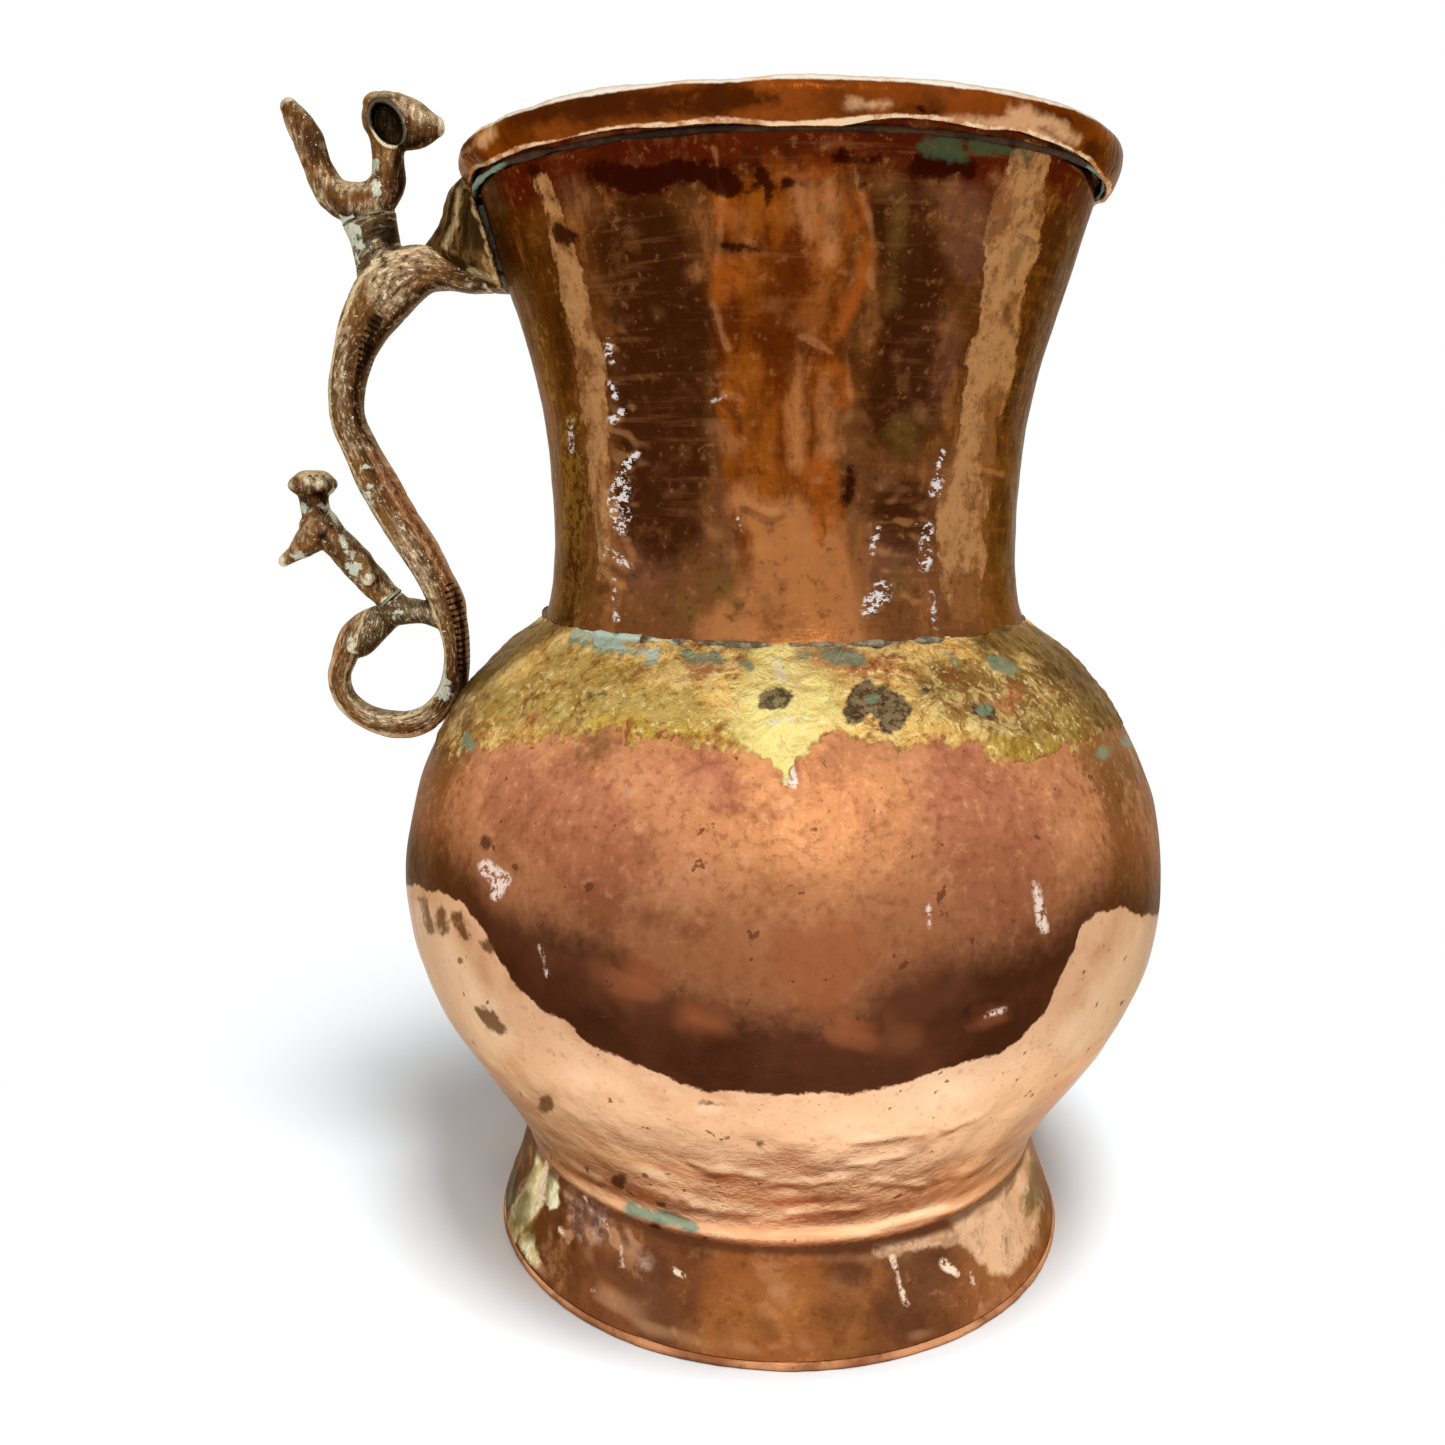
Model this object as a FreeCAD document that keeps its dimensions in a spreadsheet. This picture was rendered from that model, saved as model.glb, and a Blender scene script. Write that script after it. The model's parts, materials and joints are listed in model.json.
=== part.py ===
import FreeCAD, Part
import Sketcher
import math
import os

# Copper pitcher: a raised bowl on a flared foot ring, a flared neck with a wired rim band, and a cast brass
# handle with a scroll ring, a serpent head and two birds. Millimetres, floor at height zero, axis upright,
# handle on the negative side of the first axis.

Vector = FreeCAD.Vector
AXIS = Vector(0, 0, 1)
SIDEWAYS = Vector(0, 1, 0)
QUARTER_TURN = 90
HALF_TURN = 180
FULL_TURN = 360

SIZES = {
    # Foot ring: a strip of sheet that flares down to a round edge wire
    "foot_height": 24.2,
    "foot_flare": 8.0,
    "foot_flare_bend": 110.0,
    "foot_wall": 1.2,
    "edge_wire_gauge": 2.4,
    "edge_wear": 0.25,
    "foot_seam_width": 8.0,
    "foot_seam_azimuth": 209.0,
    # Bowl: one raised sheet, from the waist above the foot out to the belly and in to the neck
    "waist_radius": 67.8,
    "waist_lift": 4.5,
    "waist_bend": 12.0,
    "waist_reach": 2.0,
    "waist_rise": 5.9,
    "taper_reach": 5.0,
    "taper_rise": 7.4,
    "taper_bend": 150.0,
    "belly_reach": 17.0,
    "belly_rise": 33.8,
    "belly_lower_bend": 68.0,
    "belly_lower_reach": 3.9,
    "belly_lower_rise": 22.7,
    "belly_upper_bend": 61.0,
    "belly_upper_reach": 4.05,
    "belly_upper_rise": 21.9,
    "shoulder_bend": 82.0,
    "shoulder_rise": 38.8,
    "shoulder_ledge": 1.7,
    "heel_bend": 5.5,
    "heel_tuck": 3.93,
    "heel_drop": 1.17,
    "foot_tuck": 1.4,
    "dish_sag": 9.2,
    "bowl_wall": 1.3,
    "collar_step": 1.0,
    "collar_turn_reach": 1.7,
    "collar_turn_lift": 2.3,
    "collar_turn_rise": 3.4,
    "collar_bend": 4.4,
    "collar_rise": 9.2,
    # Neck: a sheet tube over the bowl's collar, narrowest at its throat
    "neck_wall": 1.2,
    "neck_foot_lift": 1.6,
    "neck_foot_flare": 2.5,
    "throat_radius": 56.8,
    "throat_rise": 23.2,
    "throat_lower_bend": 110.0,
    "throat_upper_bend": 165.0,
    "flare_reach": 7.1,
    "flare_rise": 48.0,
    "mouth_reach": 9.8,
    "mouth_rise": 32.7,
    "neck_seam_width": 4.0,
    # Rim band: a strip folded over the mouth and over a wire, placed from the mouth's edge
    "band_wall": 1.0,
    "band_foot_reach": 0.2,
    "band_foot_drop": 6.3,
    "band_bulge_reach": 2.8,
    "band_bulge_drop": 1.5,
    "band_outer_bend": 3.4,
    "lip_reach": 0.4,
    "lip_rise": 2.5,
    "band_inner_bend": 2.2,
    "band_inside_tuck": 2.3,
    "band_inside_rise": 0.5,
    "band_inside_foot_tuck": 3.3,
    "band_inside_foot_drop": 2.9,
    "rim_wire_gauge": 1.5,
    "rim_wire_clearance": 0.35,
    # Solder and spelter
    "foot_bead_radius": 1.4,
    "foot_bead_tuck": 0.7,
    "neck_bead_radius": 1.15,
    "neck_bead_reach": 0.25,
    "rim_bead_radius": 0.95,
    "rim_bead_tuck": 0.3,
    "spelter_thickness": 0.45,
    "spelter_foot_drop": 17.2,
    "spelter_top_drop": 0.8,
    # Handle: a bar cast in one with its scroll ring, serpent head, bridge and stem, placed from the neck's seat
    "handle_ring_drop": 30.7,
    "leaf_drop": 20.9,
    "handle_depth": 34.4,
    "bar_width": 8.0,
    "bar_thickness": 10.0,
    "leaf_standoff": 2.0,
    "ring_standoff": 0.6,
    "ring_seat_drop": 23.2,
    "band_clearance": 0.5,
    "serpent_width": 9.6,
    "serpent_thickness": 8.4,
    "serpent_eye_radius": 1.7,
    "serpent_eye_reach": 3.6,
    "bridge_width": 6.6,
    "bridge_thickness": 8.4,
    "stem_width": 9.8,
    "stem_thickness": 9.6,
    # Leaf: a coved plate that hugs the neck and the band above the bar
    "leaf_foot_drop": 3.0,
    "leaf_rise": 22.4,
    "leaf_width": 21.0,
    "leaf_depth": 24.0,
    "leaf_solder_width": 13.0,
    "scroll_solder_radius": 5.4,
    # Birds, each cast by itself and soldered on a flat joint
    "joint_gap": 0.6,
    "thumb_joint_radius": 5.2,
    "thumb_bird_height": 25.0,
    "thumb_bird_body": 9.0,
    "thumb_bird_head_radius": 6.0,
    "thumb_bird_eye_radius": 3.6,
    "thumb_bird_eye_depth": 2.6,
    "thumb_bird_beak_radius": 4.8,
    "thumb_bird_beak_tip": 1.3,
    "crested_joint_radius": 3.5,
    "crested_bird_height": 27.0,
    "crested_bird_body": 8.0,
    "crested_bird_head_radius": 5.2,
    "crested_bird_beak_radius": 4.6,
    "crested_bird_beak_tip": 0.9,
    "crest_radius": 6.0,
    "crest_height": 7.2,
}


class Size:
    """A length or an angle, with the formula in sheet names that binds it."""

    def __init__(self, value, text):
        self.value = float(value)
        self.text = text

    def joined(self, sign, other, value):
        return Size(value, "(%s %s %s)" % (self.text, sign, other.text))

    def __add__(self, other):
        other = sized(other)
        return self.joined("+", other, self.value + other.value)

    def __sub__(self, other):
        other = sized(other)
        return self.joined("-", other, self.value - other.value)

    def __mul__(self, other):
        other = sized(other)
        return self.joined("*", other, self.value * other.value)

    def __truediv__(self, other):
        other = sized(other)
        return self.joined("/", other, self.value / other.value)

    def __radd__(self, other):
        return sized(other) + self

    def __rsub__(self, other):
        return sized(other) - self

    def __rmul__(self, other):
        return sized(other) * self

    def __neg__(self):
        return Size(-self.value, "(-%s)" % self.text)


def sized(number):
    """A plain share or turn as a Size."""
    return number if isinstance(number, Size) else Size(number, repr(float(number)))


class Sheet:
    """The named sizes, read as attributes."""

    def __getattr__(self, name):
        return Size(SIZES[name], "sizes." + name)


doc = FreeCAD.newDocument("copper_pitcher")
sizes = doc.addObject("Spreadsheet::Sheet", "sizes")
for row, (size_name, size_value) in enumerate(SIZES.items(), start=1):
    sizes.set("A%d" % row, size_name)
    sizes.set("B%d" % row, str(size_value))
    sizes.setAlias("B%d" % row, size_name)
doc.recompute()

s = Sheet()
ZERO = sized(0)
TOUCH = 1e-6
UPRIGHT = FreeCAD.Placement(Vector(0, 0, 0), FreeCAD.Rotation(Vector(1, 0, 0), QUARTER_TURN))


# Drawing helpers


def arc_centre(start, end, bend):
    """The centre of the round run from start to end. A positive bend turns left."""
    chord = end.sub(start)
    middle = start.add(end) * 0.5
    left = Vector(-chord.y, chord.x, 0).normalize()
    reach = math.sqrt(bend**2 - chord.Length**2 / 4)
    return middle.add(left * math.copysign(reach, bend))


def arc_middle(start, end, bend):
    """The middle of the round run from start to end."""
    chord = end.sub(start)
    middle = start.add(end) * 0.5
    right = Vector(chord.y, -chord.x, 0).normalize()
    sagitta = abs(bend) - math.sqrt(bend**2 - chord.Length**2 / 4)
    return middle.add(right * math.copysign(sagitta, bend))


def left_of_run(start, end, bend, place):
    """The unit direction to the left of a run, at its start or its end."""
    if bend is None:
        chord = end.sub(start)
        return Vector(-chord.y, chord.x, 0).normalize()
    centre = arc_centre(start, end, bend.value)
    return centre.sub(place).normalize() * math.copysign(1, bend.value)


class Line:
    """A profile in the upright half plane: named places joined by straight and round runs."""

    def __init__(self, points, bends):
        self.points = points
        self.bends = bends

    def places(self):
        return [Vector(x.value, z.value, 0) for x, z in self.points]

    def moved(self, wall):
        """The same profile moved to its left by a wall, with mitred corners."""
        places = self.places()
        points = []
        for number, (x, z) in enumerate(self.points):
            sides = []
            if number > 0:
                run = (places[number - 1], places[number], self.bends[number - 1])
                sides.append(left_of_run(*run, places[number]))
            if number < len(self.bends):
                run = (places[number], places[number + 1], self.bends[number])
                sides.append(left_of_run(*run, places[number]))
            mitre = sides[0].add(sides[-1]) / (1 + sides[0].dot(sides[-1]))
            points.append((x + wall * mitre.x, z + wall * mitre.y))
        return Line(points, [None if bend is None else bend - wall for bend in self.bends])

    def turned_round(self):
        """The same profile, drawn from its other end."""
        bends = [None if bend is None else -bend for bend in reversed(self.bends)]
        return Line(list(reversed(self.points)), bends)

    def sheet(self, wall):
        """The closed outline of a sheet that lies to the left of the profile."""
        inner = self.moved(wall).turned_round()
        points = self.points + inner.points + self.points[:1]
        return Line(points, self.bends + [None] + inner.bends + [None])

    def edges(self):
        """The runs as upright edges at azimuth zero."""
        places = self.places()
        edges = []
        for start, end, bend in zip(places, places[1:], self.bends):
            if bend is None:
                edge = Part.LineSegment(start, end).toShape()
            else:
                edge = Part.Arc(start, arc_middle(start, end, bend.value), end).toShape()
            edge.Placement = UPRIGHT
            edges.append(edge)
        return edges

    def radius_at(self, height):
        """The profile's radius at a height."""
        level = Part.makeLine(Vector(0, 0, height), Vector(bowl_radius.value * 2, 0, height))
        return Part.Compound(self.edges()).distToShape(level)[1][0][0].x


def pin(sketch, geometry, position, point):
    """Binds one end of a run to its named place."""
    for kind, size in (("DistanceX", point[0]), ("DistanceY", point[1])):
        if kind == "DistanceX" and abs(size.value) < TOUCH:
            sketch.addConstraint(Sketcher.Constraint("PointOnObject", geometry, position, -2))
            continue
        constraint = Sketcher.Constraint(kind, -1, 1, geometry, position, size.value)
        index = sketch.addConstraint(constraint)
        sketch.setExpression("Constraints[%d]" % index, size.text)


def profile_sketch(name, line):
    """An upright sketch of a closed profile, every place and bend bound to the sheet."""
    sketch = doc.addObject("Sketcher::SketchObject", name)
    sketch.Placement = UPRIGHT
    places = line.places()
    first_end = None
    last_end = None
    for number, bend in enumerate(line.bends):
        start, end = places[number], places[number + 1]
        if bend is None:
            geometry = sketch.addGeometry(Part.LineSegment(start, end), False)
        else:
            middle = arc_middle(start, end, bend.value)
            geometry = sketch.addGeometry(Part.Arc(start, middle, end), False)
        begins_at_start = sketch.getPoint(geometry, 1).distanceToPoint(start) < TOUCH
        first, second = (1, 2) if begins_at_start else (2, 1)
        if last_end is not None:
            sketch.addConstraint(Sketcher.Constraint("Coincident", *last_end, geometry, first))
        else:
            first_end = (geometry, first)
        last_end = (geometry, second)
        if number < len(line.bends) - 1:
            pin(sketch, geometry, second, line.points[number + 1])
        else:
            sketch.addConstraint(Sketcher.Constraint("Coincident", *last_end, *first_end))
            pin(sketch, *first_end, line.points[0])
        if bend is not None:
            reach = bend if bend.value > 0 else -bend
            index = sketch.addConstraint(Sketcher.Constraint("Radius", geometry, reach.value))
            sketch.setExpression("Constraints[%d]" % index, reach.text)
    return sketch


def turned(name, profile, sweep=sized(FULL_TURN), start=ZERO):
    """A closed profile turned round the axis through sweep degrees from the azimuth start."""
    solid = doc.addObject("Part::Revolution", name)
    solid.Source = profile
    solid.Base = Vector(0, 0, 0)
    solid.Axis = AXIS
    solid.Angle = sweep.value
    solid.setExpression("Angle", sweep.text)
    solid.Solid = True
    solid.Placement = FreeCAD.Placement(Vector(0, 0, 0), FreeCAD.Rotation(AXIS, start.value))
    solid.setExpression("Placement.Rotation.Angle", start.text)
    return solid


def ring(name, radius, height, wire_radius):
    """A round wire bent to a ring about the axis."""
    torus = doc.addObject("Part::Torus", name)
    torus.setExpression("Radius1", radius.text)
    torus.setExpression("Radius2", wire_radius.text)
    torus.setExpression("Placement.Base.z", height.text)
    return torus


bead_corner_shares = [
    (0.924, -0.383),
    (0.924, 0.383),
    (0.383, 0.924),
    (-0.383, 0.924),
    (-0.924, 0.383),
    (-0.924, -0.383),
    (-0.383, -0.924),
    (0.383, -0.924),
]


def bead(name, radius, height, reach):
    """A bead of solder round the axis, of an eight-sided section."""
    corners = [(radius + reach * out, height + reach * up) for out, up in bead_corner_shares]
    section = Line(corners + corners[:1], [None] * len(corners))
    return turned(name, profile_sketch("%s_section" % name, section))


def slab(name, radius, foot_height, top_height):
    """A round slab about the axis, between two heights."""
    cylinder = doc.addObject("Part::Cylinder", name)
    cylinder.setExpression("Radius", radius.text)
    cylinder.setExpression("Height", (top_height - foot_height).text)
    cylinder.setExpression("Placement.Base.z", foot_height.text)
    return cylinder


def shared(name, base, tool):
    """What two solids have in common."""
    common = doc.addObject("Part::Common", name)
    common.Base = base
    common.Tool = tool
    return common


def trimmed(name, base, *neighbours):
    """A piece cut back to the faces of the pieces that it meets."""
    for number, neighbour in enumerate(neighbours):
        last = number == len(neighbours) - 1
        cut = doc.addObject("Part::Cut", name if last else "%s_trim_%d" % (name, number))
        cut.Base = base
        cut.Tool = neighbour
        base = cut
    return base


def filled(line, margin):
    """Everything inside a profile line, grown by margin, as one solid of revolution."""
    grown = line.moved(-margin)
    low, high = grown.points[0], grown.points[-1]
    closed = Line(
        grown.points + [(ZERO, high[1]), (ZERO, low[1]), low], grown.bends + [None, None, None]
    )
    if low[0].value < TOUCH:
        closed = Line(grown.points + [(ZERO, high[1]), low], grown.bends + [None, None])
    face = Part.Face(Part.Wire(closed.edges()))
    return face.revolve(Vector(0, 0, 0), AXIS, FULL_TURN)


# Heights and radii of the vessel, each worked out from the one below or beside it

waist_height = s.foot_height + s.waist_lift
waist_top_height = waist_height + s.waist_rise
taper_height = waist_top_height + s.taper_rise
belly_foot_height = taper_height + s.belly_rise
bowl_height = belly_foot_height + s.belly_lower_rise
belly_top_height = bowl_height + s.belly_upper_rise
neck_seat_height = belly_top_height + s.shoulder_rise
heel_height = s.foot_height - s.heel_drop
dish_height = heel_height - s.dish_sag

waist_top_radius = s.waist_radius + s.waist_reach
taper_radius = waist_top_radius + s.taper_reach
belly_foot_radius = taper_radius + s.belly_reach
bowl_radius = belly_foot_radius + s.belly_lower_reach
belly_top_radius = bowl_radius - s.belly_upper_reach
heel_radius = s.waist_radius - s.heel_tuck
dish_bend = (heel_radius * heel_radius + s.dish_sag * s.dish_sag) / (s.dish_sag * 2)
foot_top_radius = s.waist_radius - s.foot_tuck
foot_radius = foot_top_radius + s.foot_flare

neck_foot_radius = s.throat_radius + s.neck_foot_flare
neck_foot_height = neck_seat_height + s.neck_foot_lift
throat_height = neck_foot_height + s.throat_rise
flare_radius = s.throat_radius + s.flare_reach
flare_height = throat_height + s.flare_rise
mouth_radius = flare_radius + s.mouth_reach
mouth_height = flare_height + s.mouth_rise
shoulder_top_radius = neck_foot_radius + s.shoulder_ledge
collar_radius = s.throat_radius - s.neck_wall + s.collar_step

# Bowl: a dished bottom, a heel that sits on the foot ring, a round belly, a sloping shoulder and a short collar

collar_turn_height = neck_seat_height + s.collar_turn_lift
bowl_line = Line(
    [
        (ZERO, dish_height),
        (heel_radius, heel_height),
        (s.waist_radius, waist_height),
        (waist_top_radius, waist_top_height),
        (taper_radius, taper_height),
        (belly_foot_radius, belly_foot_height),
        (bowl_radius, bowl_height),
        (belly_top_radius, belly_top_height),
        (shoulder_top_radius, neck_seat_height),
        (collar_radius + s.collar_turn_reach, collar_turn_height),
        (collar_radius, collar_turn_height + s.collar_turn_rise),
        (collar_radius, neck_seat_height + s.collar_rise),
    ],
    [
        dish_bend,
        s.heel_bend,
        -s.waist_bend,
        None,
        s.taper_bend,
        s.belly_lower_bend,
        s.belly_upper_bend,
        s.shoulder_bend,
        None,
        -s.collar_bend,
        None,
    ],
)
bowl = turned("bowl", profile_sketch("bowl_profile", bowl_line.sheet(s.bowl_wall)))

# Foot ring: the flared strip is cut back to the bowl's heel, its ends are closed by a spelter-filled seam, and the
# wire along its edge is worn flat where the pitcher stands

strip_foot_height = s.edge_wire_gauge - s.edge_wear
foot_line = Line(
    [(foot_radius, strip_foot_height), (foot_top_radius, s.foot_height)], [-s.foot_flare_bend]
)
foot_profile = profile_sketch("foot_profile", foot_line.sheet(s.foot_wall))
foot_seam_sweep = s.foot_seam_width / foot_radius * (HALF_TURN / math.pi)
foot_strip = turned(
    "foot_strip",
    foot_profile,
    FULL_TURN - foot_seam_sweep,
    s.foot_seam_azimuth + foot_seam_sweep / 2,
)
foot_seam_strip = turned(
    "foot_seam_strip",
    foot_profile,
    foot_seam_sweep,
    s.foot_seam_azimuth - foot_seam_sweep / 2,
)
edge_wire_radius = s.edge_wire_gauge / 2
edge_ring = ring(
    "edge_ring", foot_radius - s.foot_wall / 2, edge_wire_radius - s.edge_wear, edge_wire_radius
)
worn_away = slab("worn_away", foot_radius + edge_wire_radius, -s.edge_wire_gauge, ZERO)
foot_edge_wire = trimmed("foot_edge_wire", edge_ring, worn_away)
foot_ring = trimmed("foot_ring", foot_strip, foot_edge_wire, bowl)
foot_seam_braze = trimmed("foot_seam_braze", foot_seam_strip, foot_edge_wire, bowl)
foot_bead = bead(
    "foot_bead",
    foot_top_radius - s.foot_wall - s.foot_bead_tuck,
    heel_height - s.foot_bead_tuck,
    s.foot_bead_radius,
)
foot_solder = trimmed("foot_solder", foot_bead, foot_strip, foot_seam_strip, bowl)

# Neck: the tube stands on the shoulder, over the collar, and its seam lies under the handle

neck_line = Line(
    [
        (neck_foot_radius, neck_foot_height),
        (s.throat_radius, throat_height),
        (flare_radius, flare_height),
        (mouth_radius, mouth_height),
    ],
    [-s.throat_lower_bend, -s.throat_upper_bend, None],
)
neck_profile = profile_sketch("neck_profile", neck_line.sheet(s.neck_wall))
neck_seam_sweep = s.neck_seam_width / s.throat_radius * (HALF_TURN / math.pi)
neck_tube = turned(
    "neck_tube", neck_profile, FULL_TURN - neck_seam_sweep, HALF_TURN + neck_seam_sweep / 2
)
neck_seam_strip = turned(
    "neck_seam_strip", neck_profile, neck_seam_sweep, HALF_TURN - neck_seam_sweep / 2
)
neck = trimmed("neck", neck_tube, bowl)
neck_seam_braze = trimmed("neck_seam_braze", neck_seam_strip, bowl)
neck_bead = bead(
    "neck_bead", neck_foot_radius + s.neck_bead_reach, neck_foot_height, s.neck_bead_radius
)
neck_solder = trimmed("neck_solder", neck_bead, bowl, neck_tube, neck_seam_strip)

# Shoulder braze: a skin of brass spelter on the shoulder, from under the neck down

shoulder_line = Line(
    [(belly_top_radius, belly_top_height), (shoulder_top_radius, neck_seat_height)],
    [s.shoulder_bend],
)
spelter_profile = profile_sketch("spelter_profile", shoulder_line.sheet(-s.spelter_thickness))
spelter_band = shared(
    "spelter_band",
    turned("spelter_skin", spelter_profile),
    slab(
        "spelter_slab",
        bowl_radius,
        neck_seat_height - s.spelter_foot_drop,
        neck_seat_height - s.spelter_top_drop,
    ),
)
shoulder_braze = trimmed("shoulder_braze", spelter_band, neck_bead, neck_tube, neck_seam_strip)

# Rim band: a strip folded over the mouth, with the wire that makes it bulge

band_foot_radius = mouth_radius + s.band_foot_reach
band_foot_height = mouth_height - s.band_foot_drop
band_bulge_radius = mouth_radius + s.band_bulge_reach
band_bulge_height = mouth_height - s.band_bulge_drop
band_line = Line(
    [
        (band_foot_radius, band_foot_height),
        (band_bulge_radius, band_bulge_height),
        (mouth_radius + s.lip_reach, mouth_height + s.lip_rise),
        (mouth_radius - s.band_inside_tuck, mouth_height + s.band_inside_rise),
        (mouth_radius - s.band_inside_foot_tuck, mouth_height - s.band_inside_foot_drop),
    ],
    [None, s.band_outer_bend, s.band_inner_bend, None],
)
band_outside = Line(band_line.points[:3], band_line.bends[:2])
rim_band = turned("rim_band", profile_sketch("band_profile", band_line.sheet(s.band_wall)))
rim_wire_radius = s.rim_wire_gauge / 2
rim_wire = ring(
    "rim_wire",
    band_bulge_radius - s.band_wall - rim_wire_radius - s.rim_wire_clearance,
    band_bulge_height,
    rim_wire_radius,
)
rim_bead = bead(
    "rim_bead",
    band_foot_radius - s.band_wall - s.rim_bead_tuck,
    band_foot_height,
    s.rim_bead_radius,
)
rim_solder = trimmed("rim_solder", rim_bead, neck_tube, neck_seam_strip, rim_band)

# Handle: sections along a course in the plane of the handle. A place on the course is given as shares: how far
# it stands out from the vessel, of the handle's depth, and how far up it lies, of the handle's height, which
# runs from below the neck's seat to the leaf.

handle_foot = neck_seat_height - s.handle_ring_drop
leaf_level = mouth_height - s.leaf_drop
handle_height = leaf_level - handle_foot
scroll_seat_height = neck_seat_height - s.ring_seat_drop
low_seat = bowl_line.radius_at(scroll_seat_height.value) + s.ring_standoff.value
top_seat = neck_line.radius_at(leaf_level.value) + s.leaf_standoff.value


def handle_place(out_share, up_share):
    """A place in the plane of the handle."""
    seat = low_seat + (top_seat - low_seat) * up_share
    reach = seat + out_share * s.handle_depth.value
    return Vector(-reach, 0, (handle_foot + handle_height * up_share).value)


def directions(places):
    """The course's direction at each of its places."""
    ends = [places[0]] + places + [places[-1]]
    return [after.sub(before).normalize() for before, after in zip(ends, ends[2:])]


def across(place, along):
    """A placement square to the course, its first axis in the plane of the handle."""
    width_way = SIDEWAYS.cross(along)
    return FreeCAD.Placement(place, FreeCAD.Rotation(width_way, SIDEWAYS, along, "ZXY"))


def soft_rectangle(width, thickness, round_share):
    """A rectangle with rounded corners about the origin."""
    half_width, half_thickness = width / 2, thickness / 2
    corner = min(half_width, half_thickness) * round_share
    flat, side = half_width - corner, half_thickness - corner
    diagonal = corner * math.sqrt(0.5)
    edges = []
    for turn, (along, up) in enumerate(((flat, side), (side, flat), (flat, side), (side, flat))):
        reach = along + corner
        start = Vector(reach, -up, 0)
        end = Vector(reach, up, 0)
        bend = Vector(along + diagonal, up + diagonal, 0)
        corner_end = Vector(along, up + corner, 0)
        for edge in (Part.LineSegment(start, end), Part.Arc(end, bend, corner_end)):
            shape = edge.toShape()
            shape.rotate(Vector(0, 0, 0), AXIS, QUARTER_TURN * turn)
            edges.append(shape)
    return Part.Wire(edges)


def bar(course_shares, width, thickness, round_share):
    """A cast bar through soft rectangular sections along a course."""
    places = [handle_place(row[0], row[1]) for row in course_shares]
    sections = []
    for place, along, row in zip(places, directions(places), course_shares):
        section = soft_rectangle(row[2] * width.value, row[3] * thickness.value, round_share)
        section.Placement = across(place, along)
        sections.append(section)
    return Part.makeLoft(sections, True, False)


def limb(places, radii):
    """A round limb through circles along a course."""
    sections = []
    for place, along, radius in zip(places, directions(places), radii):
        section = Part.Wire([Part.makeCircle(radius)])
        section.Placement = across(place, along)
        sections.append(section)
    return Part.makeLoft(sections, True, False)


def joint_disc(seat, radius, lift, height):
    """A flat round pad on a joint plane, lifted off the plane."""
    disc = Part.makeCylinder(radius.value, height)
    disc.Placement = seat.multiply(FreeCAD.Placement(AXIS * lift, FreeCAD.Rotation()))
    return disc


def made(name, shape):
    """A sub-part with a shape of its own."""
    piece = doc.addObject("Part::Feature", name)
    piece.Shape = shape
    return piece


bar_course_shares = [
    (-0.001, 0.972, 0.58, 1.70),
    (0.181, 0.978, 0.78, 1.35),
    (0.348, 0.993, 1.06, 1.12),
    (0.494, 0.995, 1.38, 1.10),
    (0.674, 0.974, 1.69, 1.10),
    (0.799, 0.934, 1.70, 1.05),
    (0.903, 0.872, 1.36, 1.00),
    (0.973, 0.807, 1.08, 1.00),
    (0.991, 0.741, 0.95, 1.00),
    (0.954, 0.681, 0.95, 1.00),
    (0.866, 0.633, 1.00, 1.00),
    (0.761, 0.578, 1.11, 1.00),
    (0.540, 0.478, 1.15, 1.00),
    (0.275, 0.369, 1.08, 1.00),
    (0.124, 0.282, 0.99, 0.95),
    (0.041, 0.191, 0.75, 0.90),
    (0.037, 0.121, 0.78, 0.90),
    (0.116, 0.070, 0.80, 0.90),
    (0.275, 0.033, 0.86, 0.90),
    (0.473, 0.027, 0.78, 0.85),
    (0.684, 0.046, 0.66, 0.80),
    (0.835, 0.084, 0.63, 0.75),
    (0.895, 0.135, 0.65, 0.70),
    (0.868, 0.174, 0.70, 0.70),
]
serpent_course_shares = [
    (0.887, 0.166, 0.50, 0.76),
    (0.858, 0.191, 0.68, 0.88),
    (0.800, 0.212, 0.97, 1.00),
    (0.721, 0.237, 1.02, 1.00),
    (0.625, 0.258, 0.88, 0.95),
    (0.531, 0.275, 0.66, 0.86),
]
bridge_course_shares = [
    (0.161, 0.260, 0.80, 0.90),
    (0.284, 0.276, 0.86, 1.00),
    (0.417, 0.280, 1.00, 1.00),
    (0.518, 0.278, 1.10, 0.96),
]
stem_course_shares = [
    (0.791, 0.950, 1.00, 1.00),
    (0.819, 1.002, 0.97, 1.00),
    (0.862, 1.054, 1.00, 1.00),
    (0.912, 1.102, 1.16, 1.04),
]
bar_round_share = 0.55
limb_round_share = 0.80

# The two flat joints: their places as above, and the way their normals lean out, as a share of a right angle
thumb_joint_shares = (0.897, 1.094, 0.190)
crested_joint_shares = (0.558, 0.305, 0.460)


def joint_seat(out_share, up_share, lean_share):
    """A flat joint's plane, leaning out from level."""
    turn = FreeCAD.Rotation(SIDEWAYS, -QUARTER_TURN * lean_share)
    return FreeCAD.Placement(handle_place(out_share, up_share), turn)


thumb_seat = joint_seat(*thumb_joint_shares)
crested_seat = joint_seat(*crested_joint_shares)

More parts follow.
